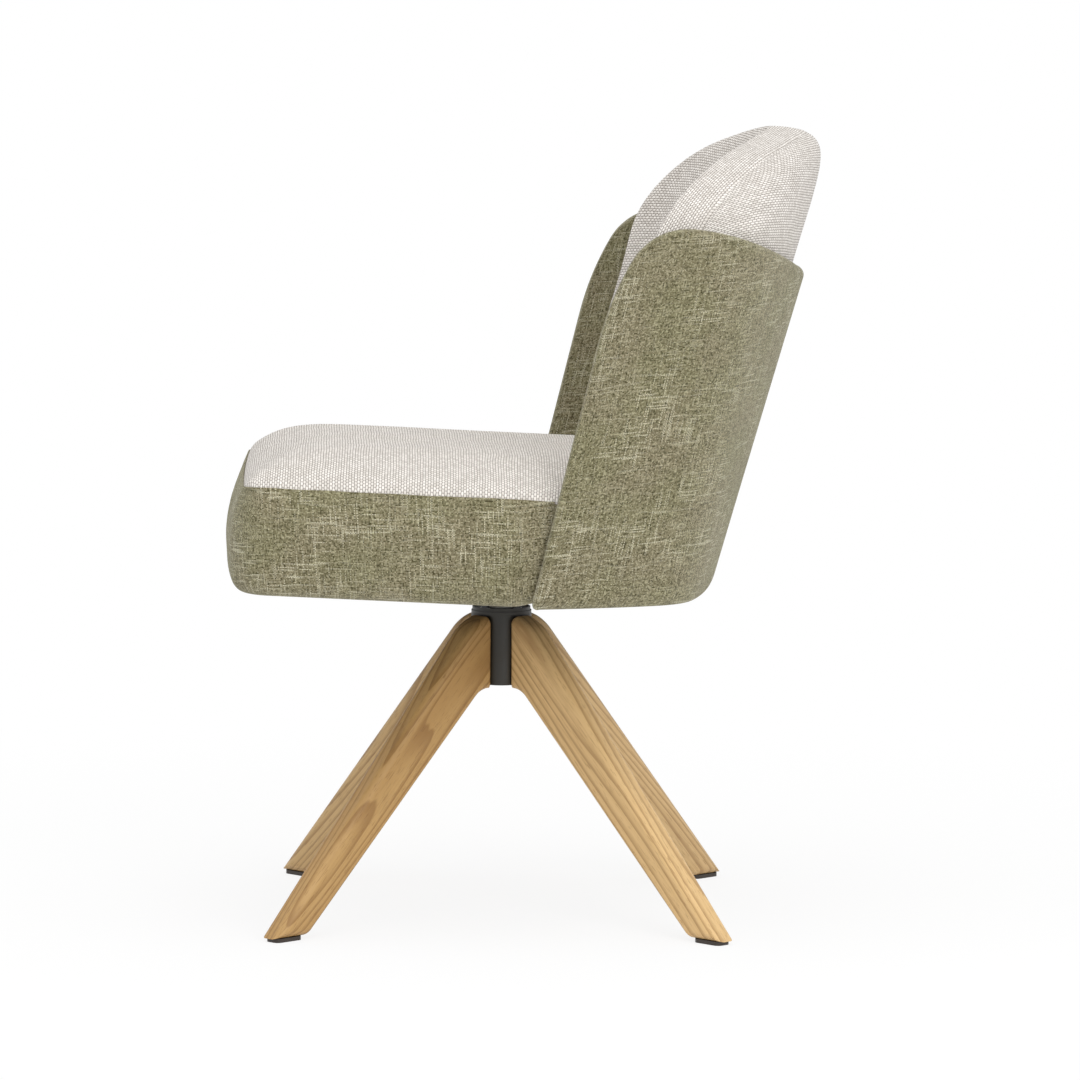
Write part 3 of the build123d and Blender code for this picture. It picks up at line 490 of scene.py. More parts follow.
def make_shell():
    inner = both_halves(inner_wall, shares_along, shares_up)
    outer = tucked(both_halves(outer_wall, shares_along, shares_up), inner)
    crest_along, crest_up = [0.0] + shares_along[1:], shares_up[:-1] + [1.0]
    crests = [rim_line(both_halves(wall, crest_along, crest_up)) for wall in (outer_wall, inner_wall)]
    build, layer = new_cloth()
    outer_lengths, inner_lengths = wall_lengths(outer), wall_lengths(inner)
    outer_verts, inner_verts = vertex_rows(build, outer), vertex_rows(build, inner)
    add_faces(build, layer, outer_verts, outer_lengths)
    add_faces(build, layer, inner_verts, inner_lengths)
    start, end = rim_line(outer_verts), rim_line(inner_verts)
    start_lengths = [Vector(pair) for pair in rim_line(outer_lengths)]
    one_in = rim_line(outer_lengths, 1)
    outward = [(a - Vector(b)).normalized() for a, b in zip(start_lengths, one_in)]
    steps = 6
    half_round = pi * shell_wall / 2
    rim, lengths = [start], [start_lengths]
    for k in range(1, steps):
        angle, length = pi * k / steps, half_round * k / steps
        line = []
        for a, b, outer_crest, inner_crest in zip(start, end, *crests):
            crest = (Vector(outer_crest) + Vector(inner_crest)) / 2 + Vector((axis_x, axis_y, 0))
            middle = (a.co + b.co) / 2
            place = middle + (a.co - b.co) / 2 * cos(angle) + (crest - middle) * sin(angle)
            line.append(build.verts.new(place))
        rim.append(line)
        lengths.append([pair + way * length for pair, way in zip(start_lengths, outward)])
    rim.append(end)
    lengths.append([pair + way * half_round for pair, way in zip(start_lengths, outward)])
    add_faces(build, layer, rim, lengths)
    under_lengths = [[(u, v - shell_wall * k) for u, v in outer_lengths[0]] for k in (0, 1)]
    add_faces(build, layer, [outer_verts[0], inner_verts[0]], under_lengths)
    return smoothed(cloth_piece("back_shell_cloth", build), 1)


back_shell = make_shell()
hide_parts("back_shell")
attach(back_shell, "seat")
print("back shell faces", len(back_shell.data.polygons))

# %% [markdown]
# The seat is a box of foam that falls to the rear by 2.5 degrees. Its own axes are x across,
# v along and w up, and one function sets a point of it in the chair.

# %% The seat's own axes
def seat_point(x, v, w):
    along, up = cos(seat_tilt), sin(seat_tilt)
    return (x, v * along + w * up, seat_bottom - v * up + w * along)


plan_count = {"side": 36, "corner": 8, "front": 44}
seat_rear = 0.075


def seat_plan(inset, bow=seat_bow, sharper=0.0):
    """The seat's plan from the rear on the left, round the front, to the rear on the right."""
    half = half_width - shell_wall - band_clearance - inset
    corner = max(0.006, seat_corner - sharper - inset)
    front = -(seat_front - inset) + seat_bow - bow
    bow_x = half - corner
    bow_radius = (bow_x**2 + bow**2) / (2 * bow)
    side_start = front + bow + corner
    sides, turns, fronts = plan_count["side"], plan_count["corner"], plan_count["front"]
    points = [(half, seat_rear + (side_start - seat_rear) * i / sides) for i in range(sides)]
    tilt = asin(bow_x / bow_radius)
    centre = (bow_x, side_start)
    for i in range(turns):
        angle = -(pi / 2 - tilt * 0.5) * i / turns
        points.append((centre[0] + corner * cos(angle), centre[1] + corner * sin(angle)))
    for i in range(fronts // 2 + 1):
        x = bow_x * (1 - 2 * i / fronts)
        y = front + bow_radius - sqrt(bow_radius**2 - x**2)
        points.append((x, y))
    return mirrored(points)


print("plan points", len(seat_plan(0)))

# %% [markdown]
# The green side band is one strip of cloth over foam. It is widest a little below the middle and
# draws in gently to the seam above, and more quickly to the staples below. The section is a list
# of insets and heights read from the photograph, and a spline through them keeps it smooth.

# %% Seat band
band_marks = [
    (0.0460, -0.0034), (0.0300, -0.0032), (0.0190, -0.0024), (0.0100, 0.0010), (0.0034, 0.0110),
    (0.0011, 0.0310), (0.0, 0.0480), (0.0018, 0.0730), (0.0040, 0.0830), (0.0070, 0.0935),
    (0.0096, 0.1020), (0.0110, 0.1058), (0.0122, 0.1044), (0.0140, 0.0990), (0.0300, 0.0950),
]


def spline_through(marks, steps):
    """Catmull-Rom points through the marks."""
    chain = [marks[0]] + marks + [marks[-1]]
    points = []
    for k in range(1, len(chain) - 2):
        p0, p1, p2, p3 = (Vector(chain[k + i]) for i in (-1, 0, 1, 2))
        for i in range(steps):
            t = i / steps
            points.append(tuple(0.5 * (
                2 * p1 + (p2 - p0) * t + (2 * p0 - 5 * p1 + 4 * p2 - p3) * t**2
                + (3 * p1 - p0 - 3 * p2 + p3) * t**3
            )))
    return points + [tuple(marks[-1])]


def sewn_pull(x, y, w):
    """The cloth is drawn in a little where it is sewn, in short waves that fade away from the seam."""
    near = max(0.0, 1 - abs(band_height - w) / 0.030)
    return 0.0010 * near * noise.noise(Vector((x * 30, y * 30, 3.1)))


def tucked_up(y, w):
    """Behind the wings the band's lower edge stays above the shell's, where nothing shows it."""
    behind = clamped((y - wing_foot[0] + 0.012) / 0.024)
    low = max(0.0, 1 - (w + 0.004) / 0.020)
    return w + 0.0075 * behind * low


wing_lean = 0.247
crease_depth = 0.0040


def beside_wing(x, y, w):
    """The wing's edge presses the band in, so that a shaded crease shows along it."""
    edge = wing_foot[0] + wing_lean * (seat_point(x, y, w)[2] - shell_bottom)
    pressed = clamped((y - edge + 0.006) / 0.005) * clamped((w - 0.022) / 0.020)
    return x - (1 if x > 0 else -1) * crease_depth * eased(pressed)


band_rows = []
for inset, w in spline_through(band_marks, 3):
    bow = seat_bow + (seam_bow - seat_bow) * eased((w - 0.055) / 0.045)
    outline = seat_plan(inset, bow, seam_sharper * clamped(w / band_height))
    band_rows.append([
        seat_point(beside_wing(x, y, w), y, tucked_up(y, w) + sewn_pull(x, y, w)) for x, y in outline
    ])
widest = along_row([seat_point(x, y, 0.048) for x, y in seat_plan(0)])
band_lengths = [list(zip(widest, climb)) for climb in climbing(band_rows)]
seat_band = cloth_mesh("seat_band_cloth", band_rows, [(len(band_rows) - 1, band_lengths)])
stapled_row, sewn_row = 15, 30


def band_held(index):
    """The band is sewn at the top, stapled below, and lies against the shell at the rear."""
    r, c = divmod(index, len(widest))
    y = band_rows[r][c][1]
    return 1.0 if r > sewn_row or r < stapled_row or y > -0.02 else 0.0


smoothed(press_out(seat_band, band_held, 0.0020), 1)
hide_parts("seat_band")
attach(seat_band, "seat")
print("seat band faces", len(seat_band.data.polygons))

# %% [markdown]
# The cream top panel swells up from the seam: steep beside it and nearly flat in the middle, the
# way foam pushes at a cover that is held down all round. Its height depends on the distance in
# from the seam. Round the front corners that distance is taken to the arc of the seam.

# %% Seat top
seam_inset = 0.0116
seam_half = half_width - shell_wall - band_clearance - seam_inset
seam_corner = seat_corner - seam_sharper - seam_inset
seam_front = -(seat_front - seam_inset) + seat_bow - seam_bow
seam_rear = 0.130


def swell(d):
    """Height of the cover over the seam at this distance in from it."""
    return seat_crown * (1 - exp(-max(0.0, d) / swell_reach))


def swell_length(d):
    """Length of cloth from the seam to this distance in, climbing the swell."""
    stops = [d * i / 24 for i in range(25)]
    return sum(hypot(b - a, swell(b) - swell(a)) for a, b in zip(stops, stops[1:]))


def seam_depth(x, y):
    """Distance in from the seam: exact beside it, with rounder corners further in."""
    side = seam_half - abs(x)
    ahead = y - seam_front - seam_bow * (x / seam_half) ** 2
    exact = min(side, ahead)
    if side < seam_corner and ahead < seam_corner:
        exact = seam_corner - hypot(seam_corner - side, seam_corner - ahead)
    soft = 0.024
    overlap = max(0.0, soft - abs(side - ahead))
    round_in = min(side, ahead) - overlap**2 / (4 * soft)
    return max(0.0, exact + (round_in - exact) * eased(exact / 0.030))


def top_place(a, b):
    """Grid place, a across and b from the rear to the front, each -1 to 1, inside the seam line."""
    reach = max(abs(a), abs(b))
    middle_y = (seam_front + seam_rear) / 2
    if reach < 1e-6:
        return 0.0, middle_y
    x = a / reach * seam_half
    y = middle_y - b / reach * (seam_rear - seam_front) / 2
    edge_front = seam_front + seam_bow * (x / seam_half) ** 2
    y = seam_rear - (seam_rear - y) * (seam_rear - edge_front) / (seam_rear - seam_front)
    dx = abs(x) - (seam_half - seam_corner)
    dy = (edge_front + seam_corner) - y
    if dx > 0 and dy > 0:
        u, v = min(1.0, dx / seam_corner), min(1.0, dy / seam_corner)
        x = (1 if x > 0 else -1) * (seam_half - seam_corner + seam_corner * u * sqrt(1 - v * v / 2))
        y = edge_front + seam_corner - seam_corner * v * sqrt(1 - u * u / 2)
    return x * reach, middle_y + (y - middle_y) * reach


def spread(t):
    """Rows are closer together beside the seam, where the cover curves most."""
    return 0.45 * t + 0.55 * sin(t * pi / 2)


top_rows, top_lengths = [], []
half_length = swell_length(seam_half)
steps = 84
for r in range(steps + 1):
    row, lengths = [], []
    for c in range(steps + 1):
        x, y = top_place(spread(2 * c / steps - 1), spread(2 * r / steps - 1))
        d = seam_depth(x, y)
        foam = 0.0006 * noise.noise(Vector((x * 9, y * 9, 7.7))) * min(1.0, d / 0.03)
        groove = 0.0035 * exp(-d / 0.0016)
        row.append(seat_point(x, y, band_height - groove + swell(d) + foam))
        side = seam_half - abs(x)
        lengths.append((
            (1 if x > 0 else -1) * (half_length - swell_length(side)),
            0.45 - swell_length(y - seam_front),
        ))
    top_rows.append(row)
    top_lengths.append(lengths)
seat_top = cloth_mesh("seat_top_cloth", top_rows, [(len(top_rows) - 1, top_lengths)])


def top_held(index):
    r, c = divmod(index, steps + 1)
    return clamped(1.25 - 0.18 * min(r, c, steps - r, steps - c))


smoothed(press_out(seat_top, top_held, 0.0030), 1)
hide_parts("seat_top")
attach(seat_top, "seat")
print("seat top faces", len(seat_top.data.polygons))

# %% [markdown]
# The back cushion is an arch whose front is hollow, like a slice of a leaning cone. Its front
# panel and rear panel meet an edge band, and the edge band follows the arch.

# %% Back cushion
def face_y(x, z):
    """The cushion's front face."""
    up = z - shell_bottom
    growth = (face_radius_top - face_radius_foot) / (guide_top - shell_bottom)
    radius = face_radius_foot + growth * up
    front = face_foot + face_lean * up
    return front - radius + sqrt(max(0.0, radius**2 - x * x))


arch_count = {"side": 26, "corner": 20, "top": 24}


def arch_outline():
    """Front view of the cushion, from the foot on the left over the top to the foot on the right."""
    corner, arch, top, lean = cushion_corner, cushion_arch, cushion_top, cushion_side_lean
    sides, turns, tops = arch_count["side"], arch_count["corner"], arch_count["top"]
    corner_z = top - arch + sqrt((arch - corner) ** 2 - cushion_corner_x**2)
    spring = (cushion_corner_x + corner * cos(lean), corner_z + corner * sin(lean))
    foot_x = spring[0] + (spring[1] - cushion_foot) * tan(lean)
    join_x = arch * cushion_corner_x / (arch - corner)
    start = atan2(sqrt(arch**2 - join_x**2), join_x)
    points = []
    for i in range(sides):
        t = i / sides
        x = foot_x + (spring[0] - foot_x) * t
        z = cushion_foot + (spring[1] - cushion_foot) * t
        limit = wall_point(inner_wall, 1.4, max(z, shell_bottom))[0] - 0.004
        points.append((min(x, limit), z))
    for i in range(turns):
        angle = lean + (start - lean) * i / turns
        points.append((cushion_corner_x + corner * cos(angle), corner_z + corner * sin(angle)))
    for i in range(tops // 2 + 1):
        angle = start + (pi / 2 - start) * 2 * i / tops
        points.append((arch * cos(angle), top - arch + arch * sin(angle)))
    return mirrored(points)


def rear_y(x, z):
    """The shell's inner wall, drawn in a little, behind the cushion."""
    place = halved(lambda s: wall_point(inner_wall, s, z)[0] > abs(x), 1.0, rear_s, 30)
    return wall_point(inner_wall, place, z)[1] - 0.0035


edge_band = 0.043
shoulder_reach = 0.0125
rear_rings = (
    0.979, 0.970, 0.958, 0.942, 0.920, 0.895, 0.86, 0.81, 0.74, 0.64, 0.51, 0.34, 0.14, 0.03,
)
fold_scale = 0.986


def shoulder_forward(x, z):
    """The front panel stands a little further forward where the arch turns, as photographed."""
    up = clamped((z - 0.580) / 0.160)
    return shoulder_reach * up * up * (3 - 2 * up) * min(1.0, abs(x) / 0.120)


def inside_wall(x, y, z):
    """x, held a little inside the shell's inner wall where the cushion lies against it."""
    if z > wing_peak[1] or y > 0.300:
        return x
    limit = wall_point(inner_wall, place_at(inner_wall, y, z), z)[0] - 0.0020
    return max(-limit, min(limit, x))


def cushion_rows():
    """Rings from the middle of the front, over the edge band, to the middle of the rear."""
    rim = arch_outline()
    rows, folds = [], []
    for x, z in rim:
        front = face_y(x, z) - shoulder_forward(x, z)
        rear = max(front + 0.006, rear_y(x, z))
        folds.append((front, min(rear, front + edge_band), rear))

    def ring(scale, depth, behind=False):
        line = []
        for (x, z), (front, fold, rear) in zip(rim, folds):
            px, pz = x * scale, cushion_foot + (z - cushion_foot) * scale
            if behind:
                inward = (fold_scale - scale) * hypot(x, z - cushion_foot)
                y = rear_y(px, pz) - (rear - fold) * exp(-inward / 0.011)
                y = max(y, face_y(px, pz) + 0.004)
            else:
                y = face_y(px, pz) - shoulder_forward(px, pz) + (fold - front) * depth
            line.append((inside_wall(px, y, pz), y, pz))
        return line

    for i in range(22):
        rows.append(ring(0.02 + 0.940 * i / 21, 0.0))
    for scale, depth in ((0.975, 0.002), (0.987, 0.010), (0.995, 0.032), (0.9995, 0.080), (1.0, 0.16)):
        rows.append(ring(scale, depth))
    for i in range(1, 6):
        t = i / 5
        rows.append(ring(1.0 - 0.009 * t * t, 0.16 + 0.72 * t))
    rows.append(ring(fold_scale, 0.965))
    rows += [ring(scale, 1.0, True) for scale in rear_rings]
    return rows


front_fold, rear_fold = 25, 32


def from_the_middle(rows):
    """Flattens a panel from its middle outwards: each step keeps its direction and true length."""
    table = [[(x, z) for x, _, z in rows[0]]]
    for inner, outer in zip(rows, rows[1:]):
        line = []
        for (u, v), (ax, ay, az), (bx, by, bz) in zip(table[-1], inner, outer):
            flat = hypot(bx - ax, bz - az)
            share = hypot(flat, by - ay) / max(flat, 1e-6)
            line.append((u + (bx - ax) * share, v + (bz - az) * share))
        table.append(line)
    return table


def cushion_panels(rows):
    """Cloth lengths of the front panel, of the band round the arch and of the rear panel."""
    front = from_the_middle(rows[:front_fold + 1])
    round_arch = along_row(rows[front_fold + 2])
    band = [list(zip(round_arch, climb)) for climb in climbing(rows[front_fold:rear_fold + 1])]
    rear = from_the_middle(rows[:rear_fold - 1:-1])[::-1]
    return [(front_fold, front), (rear_fold, band), (len(rows) - 1, rear)]


back_rows = cushion_rows()
back_cushion = cloth_mesh("back_cushion_cloth", back_rows, cushion_panels(back_rows))
ring_count = len(back_rows[0])


def cushion_held(index):
    """The cover is held at its foot, along its two folds and wherever the shell is behind it."""
    r, c = divmod(index, ring_count)
    x, y, z = back_rows[r][c]
    if z < 0.44 or (z < 0.73 and (r > front_fold or abs(x) > 0.19)):
        return 1.0
    from_fold = min(abs(r - front_fold), abs(r - rear_fold))
    return max(0.0, 0.95 - 0.3 * from_fold)


smoothed(press_out(back_cushion, cushion_held, 0.0030), 1)
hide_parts("back_cushion")
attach(back_cushion, "seat")
print("back cushion faces", len(back_cushion.data.polygons))

# %% [markdown]
# ## Finishes
#
# Each effect that more than one finish uses is a group of shader nodes: the green cloth's threads,
# the cream cloth's beads, the grain of the wood and the fine unevenness of coated metal. The
# groups hand over masks and heights, and each material decides what colour and gloss they mean.

# %% Helpers: nodes
def put(tree, kind, inputs=None, **settings):
    """Adds a node, sets it, and wires or fills its inputs."""
    made = tree.nodes.new(kind)
    for key, value in settings.items():
        setattr(made, key, value)
    for key, value in (inputs or {}).items():
        if isinstance(value, bpy.types.NodeSocket):
            tree.links.new(value, made.inputs[key])
        else:
            made.inputs[key].default_value = value
    return made


def calc(tree, operation, *values):
    return put(tree, "ShaderNodeMath", dict(enumerate(values)), operation=operation).outputs[0]


def vector(tree, operation, *values):
    return put(tree, "ShaderNodeVectorMath", dict(enumerate(values)), operation=operation).outputs


def times(tree, a, b):
    return calc(tree, "MULTIPLY", a, b)


def times_plus(tree, a, b, c):
    return calc(tree, "MULTIPLY_ADD", a, b, c)


def cloud(tree, place, scale, detail, output="Fac"):
    """Soft noise, this many times finer than a metre."""
    inputs = {"Vector": place, "Scale": scale, "Detail": detail}
    return put(tree, "ShaderNodeTexNoise", inputs).outputs[output]


def joined(tree, x, y, z=0.0):
    return put(tree, "ShaderNodeCombineXYZ", {0: x, 1: y, 2: z}).outputs[0]


def between(tree, value, low, high, to_low=0.0, to_high=1.0):
    """Maps low-high to another range, held at its ends."""
    inputs = {"Value": value, "From Min": low, "From Max": high, "To Min": to_low, "To Max": to_high}
    return put(tree, "ShaderNodeMapRange", inputs, interpolation_type="SMOOTHSTEP").outputs[0]


def blended(tree, share, a, b, kind="MIX"):
    """Colour a, with colour b over it by the share."""
    inputs = {0: share, 6: a, 7: b}
    return put(tree, "ShaderNodeMix", inputs, data_type="RGBA", blend_type=kind).outputs[2]


def wandering(tree, place, scale, reach):
    """The place's axes, shifted by a slow noise, so that no thread runs quite straight."""
    wander = cloud(tree, place, scale, 1.0, "Color")
    shift = vector(tree, "SUBTRACT", wander, (0.5, 0.5, 0.5))[0]
    moved = vector(tree, "MULTIPLY_ADD", shift, reach, place)[0]
    return put(tree, "ShaderNodeSeparateXYZ", {0: moved}).outputs


def each_cell(tree, x, y):
    """A random value for every cell of a grid."""
    inputs = {0: joined(tree, x, y)}
    return put(tree, "ShaderNodeTexWhiteNoise", inputs, noise_dimensions="3D").outputs["Value"]


def effect_group(name, inputs, outputs):
    """inputs: names and values, None for a place. outputs: names of plain values."""
    group = bpy.data.node_groups.new(name, "ShaderNodeTree")
    for label, value in inputs.items():
        kind = "NodeSocketVector" if value is None else "NodeSocketFloat"
        socket = group.interface.new_socket(name=label, in_out="INPUT", socket_type=kind)
        if value is not None:
            socket.default_value = value
    for label in outputs:
        group.interface.new_socket(name=label, in_out="OUTPUT", socket_type="NodeSocketFloat")
    return group, group.nodes.new("NodeGroupInput").outputs, group.nodes.new("NodeGroupOutput").inputs


def hand_over(group, out, **values):
    """Wires the group's outputs and tells how large it is."""
    for label, value in values.items():
        group.links.new(value, out[label])
    print(group.name, "group:", len(group.nodes), "nodes")
    return group


# %% [markdown]
# The green cloth is a plain weave of thick and thin yarns, about a millimetre apart. Seen closely
# it is a checker of rounded threads. No two yarns have quite the same colour, and here and there
# a pale slub runs for a few centimetres along a warp or a weft. It shows as a row of dots,
# because the crossing threads cover every second stitch of it.

# %% Effect: threads of the green cloth
def thread_effect():
    outputs = ("Height", "Tone", "Slub", "Patch")
    group, given, out = effect_group("threads", {"Place": None, "Pitch": 0.00125}, outputs)
    place = given["Place"]
    parts = wandering(group, place, 16.0, (0.0030, 0.0030, 0.0))
    across = calc(group, "DIVIDE", parts[0], given["Pitch"])
    up = calc(group, "DIVIDE", parts[1], given["Pitch"])
    warp, weft = calc(group, "FLOOR", across), calc(group, "FLOOR", up)
    warp_round, weft_round = [
        calc(group, "SINE", times(group, calc(group, "FRACT", way), pi)) for way in (across, up)
    ]
    over = calc(group, "FLOORED_MODULO", calc(group, "ADD", warp, weft), 2.0)
    under = calc(group, "SUBTRACT", 1.0, over)
    warp_high = times(group, warp_round, times_plus(group, over, 0.45, 0.55))
    weft_high = times(group, weft_round, times_plus(group, under, 0.45, 0.55))

    def per_thread(across_step, along_step, depth, detail):
        """Noise that changes from thread to thread and slowly along each of them, both ways."""
        upright = joined(group, times(group, warp, across_step), times(group, up, along_step), depth)
        level = joined(
            group, times(group, across, along_step), times(group, weft, across_step), depth + 5.0
        )
        return [cloud(group, spot, 1.0, detail) for spot in (upright, level)]

    along_warp, along_weft = per_thread(7.31, 0.13, 0.0, 1.0)
    tone = times(group, each_cell(group, warp, weft), 0.34)
    tone = times_plus(group, along_warp, 0.40, tone)
    tone = times_plus(group, along_weft, 0.40, tone)
    speckle = calc(group, "SUBTRACT", cloud(group, place, 480.0, 1.0), 0.5)
    tone = times_plus(group, speckle, 0.70, tone)

    runs_up, runs_across = per_thread(3.73, 0.050, 2.6, 0.0)
    dots_up = times_plus(group, times(group, over, weft_round), 0.9, 0.1)
    dots_across = times_plus(group, times(group, under, warp_round), 0.75, 0.25)
    thin_up = times(group, between(group, runs_up, 0.585, 0.71), warp_round)
    thin_across = times(group, between(group, runs_across, 0.605, 0.73), weft_round)
    slub_up, slub_across = times(group, thin_up, dots_up), times(group, thin_across, dots_across)
    lively = between(group, cloud(group, place, 15.0, 1.0), 0.38, 0.62, 0.25, 1.0)
    return hand_over(
        group, out,
        Height=calc(group, "MAXIMUM", warp_high, weft_high),
        Tone=tone,
        Slub=times(group, calc(group, "MAXIMUM", slub_up, slub_across), lively),
        Patch=cloud(group, place, 16.0, 2.0),
    )


threads = thread_effect()

# %% [markdown]
# The cream cloth is a basket weave. Its yarns rise as round beads, in rows that are set half a
# bead over from each other, with small shaded gaps between.

# %% Effect: beads of the cream cloth
def bead_effect():
    inputs = {"Place": None, "Across": 0.0040, "Up": 0.0027}
    group, given, out = effect_group("beads", inputs, ("Height", "Gap", "Tone"))
    place = given["Place"]
    parts = wandering(group, place, 20.0, (0.0040, 0.0030, 0.0))
    up = calc(group, "DIVIDE", parts[1], given["Up"])
    row = calc(group, "FLOOR", up)
    over = times(group, calc(group, "FLOORED_MODULO", row, 2.0), 0.5)
    across = calc(group, "ADD", calc(group, "DIVIDE", parts[0], given["Across"]), over)
    x, y = [
        calc(group, "ABSOLUTE", times_plus(group, calc(group, "FRACT", way), 2.0, -1.0))
        for way in (across, up)
    ]
    far = calc(group, "ADD", calc(group, "POWER", x, 2.4), calc(group, "POWER", y, 2.4))
    bead = calc(group, "SQRT", calc(group, "MAXIMUM", calc(group, "SUBTRACT", 1.0, far), 0.0))
    each = times(group, each_cell(group, calc(group, "FLOOR", across), row), 0.5)
    broad = cloud(group, place, 60.0, 2.0)
    return hand_over(
        group, out,
        Height=bead,
        Gap=between(group, bead, 0.0, 0.75, 1.0, 0.0),
        Tone=times_plus(group, broad, 0.5, each),
    )


beads = bead_effect()

# %% [markdown]
# Oak cut along the trunk shows growth rings as long lines that close into tall arches here and
# there, short dark pores, and a fine silky streak. The place given to this effect has its first
# axis along the grain, so all of it is stretched that way.

# %% Effect: grain of the wood
def grain_effect():
    inputs = {"Place": None, "Rings": 9.0}
    group, given, out = effect_group("grain", inputs, ("Ring", "Streak", "Pore", "Figure"))
    place = given["Place"]

    def drawn_out(factors, detail):
        """Noise that is stretched along the grain."""
        return cloud(group, vector(group, "MULTIPLY", place, factors)[0], 1.0, detail)

    figure = drawn_out((1.7, 17.0, 17.0), 1.0)
    parts = put(group, "ShaderNodeSeparateXYZ", {0: place}).outputs
    rings = times(group, figure, given["Rings"])
    rings = times_plus(group, calc(group, "ADD", parts[1], parts[2]), 95.0, rings)
    rings = times_plus(group, drawn_out((12.0, 110.0, 110.0), 1.0), 0.30, rings)
    saw = calc(group, "FRACT", rings)
    late = between(group, saw, 0.45, 0.93)
    gone = between(group, saw, 0.93, 1.0, 1.0, 0.0)
    return hand_over(
        group, out,
        Ring=times(group, late, gone),
        Streak=drawn_out((9.0, 520.0, 520.0), 2.0),
        Pore=between(group, drawn_out((70.0, 1500.0, 1500.0), 0.0), 0.66, 0.74),
        Figure=figure,
    )


grain = grain_effect()

# %% [markdown]
# Powder coat, zinc plate and moulded plastic are never perfectly even. One effect gives a soft
# unevenness for the gloss and a fine orange-peel height.

# %% Effect: unevenness of hard finishes
def uneven_effect():
    group, given, out = effect_group("uneven", {"Place": None}, ("Cloud", "Peel"))
    place = given["Place"]
    return hand_over(
        group, out,
        Cloud=cloud(group, place, 60.0, 4.0),
        Peel=cloud(group, place, 900.0, 2.0),
    )


uneven = uneven_effect()

# %% [markdown]
# A finish is a principled surface with one or more effects wired in.

# %% Helper: a new finish
def new_finish(name):
    finish = bpy.data.materials.new(name)
    finish.use_nodes = True
    tree = finish.node_tree
    return finish, tree, tree.nodes["Principled BSDF"]


def with_effect(tree, group, place, **values):
    made = put(tree, "ShaderNodeGroup", {"Place": place}, node_tree=group)
    for key, value in values.items():
        made.inputs[key].default_value = value
    return made.outputs


def fixed(surface, values):
    """Sets the sockets that stay the same all over."""
    for name, value in values.items():
        surface.inputs[name].default_value = value


def raised(tree, surface, height, distance, strength):
    inputs = {"Height": height, "Distance": distance, "Strength": strength}
    tree.links.new(put(tree, "ShaderNodeBump", inputs).outputs["Normal"], surface.inputs["Normal"])


# %% [markdown]
# The green cloth in three tones: shaded olive in the gaps, sage on the yarns, and cream slubs.
# A soft sheen makes it paler where it turns away, as the raised fibres do.

# %% Finish: green cloth
def tinted(tree, colour, tint):
    return blended(tree, 1.0, colour, tint, "MULTIPLY")


def green_cloth():
    finish, tree, surface = new_finish("green_cloth")
    effect = with_effect(tree, threads, put(tree, "ShaderNodeUVMap", uv_map="cloth").outputs["UV"])
    dark, sage, pale = (0.072, 0.063, 0.027, 1), (0.258, 0.235, 0.133, 1), (0.490, 0.460, 0.300, 1)
    yarn = blended(tree, between(tree, effect["Tone"], 0.28, 0.58), dark, sage)
    yarn = blended(tree, between(tree, effect["Tone"], 0.56, 0.86), yarn, pale)
    # Painted shade: the yarn is darkened down to 0.45 of its colour where the threads dip into the gaps.
    gap_shade = between(tree, effect["Height"], 0.25, 0.85, 0.45, 1.0)
    yarn = tinted(tree, yarn, joined(tree, gap_shade, gap_shade, gap_shade))
    warm = between(tree, effect["Patch"], 0.35, 0.65)
    olive, rosy = (1.00, 1.00, 0.95, 1), (1.05, 1.01, 1.03, 1)
    yarn = blended(tree, warm, tinted(tree, yarn, olive), tinted(tree, yarn, rosy))
    yarn = blended(tree, effect["Slub"], yarn, (0.86, 0.82, 0.62, 1))
    tree.links.new(yarn, surface.inputs["Base Color"])
    fixed(surface, {
        "Roughness": 0.9, "Specular IOR Level": 0.2, "Sheen Weight": 0.40,
        "Sheen Roughness": 0.45, "Sheen Tint": (0.88, 0.86, 0.72, 1),
    })
    raised(tree, surface, effect["Height"], 0.0007, 0.8)
    return finish


green_cloth_finish = green_cloth()

# %% Finish: cream cloth
def cream_cloth():
    finish, tree, surface = new_finish("cream_cloth")
    effect = with_effect(tree, beads, put(tree, "ShaderNodeUVMap", uv_map="cloth").outputs["UV"])
    low, high, gap_shade = (0.72, 0.68, 0.63, 1), (0.88, 0.84, 0.79, 1), (0.36, 0.315, 0.280, 1)
    bead = blended(tree, between(tree, effect["Tone"], 0.25, 0.75), low, high)
    # Painted shade: the dark gap colour is laid between the beads, where the weave dips.
    tree.links.new(blended(tree, effect["Gap"], bead, gap_shade), surface.inputs["Base Color"])
    fixed(surface, {
        "Roughness": 0.85, "Specular IOR Level": 0.25, "Sheen Weight": 0.15,
        "Sheen Roughness": 0.5, "Sheen Tint": (1.0, 0.98, 0.95, 1),
    })
    raised(tree, surface, effect["Height"], 0.0011, 0.9)
    return finish


cream_cloth_finish = cream_cloth()
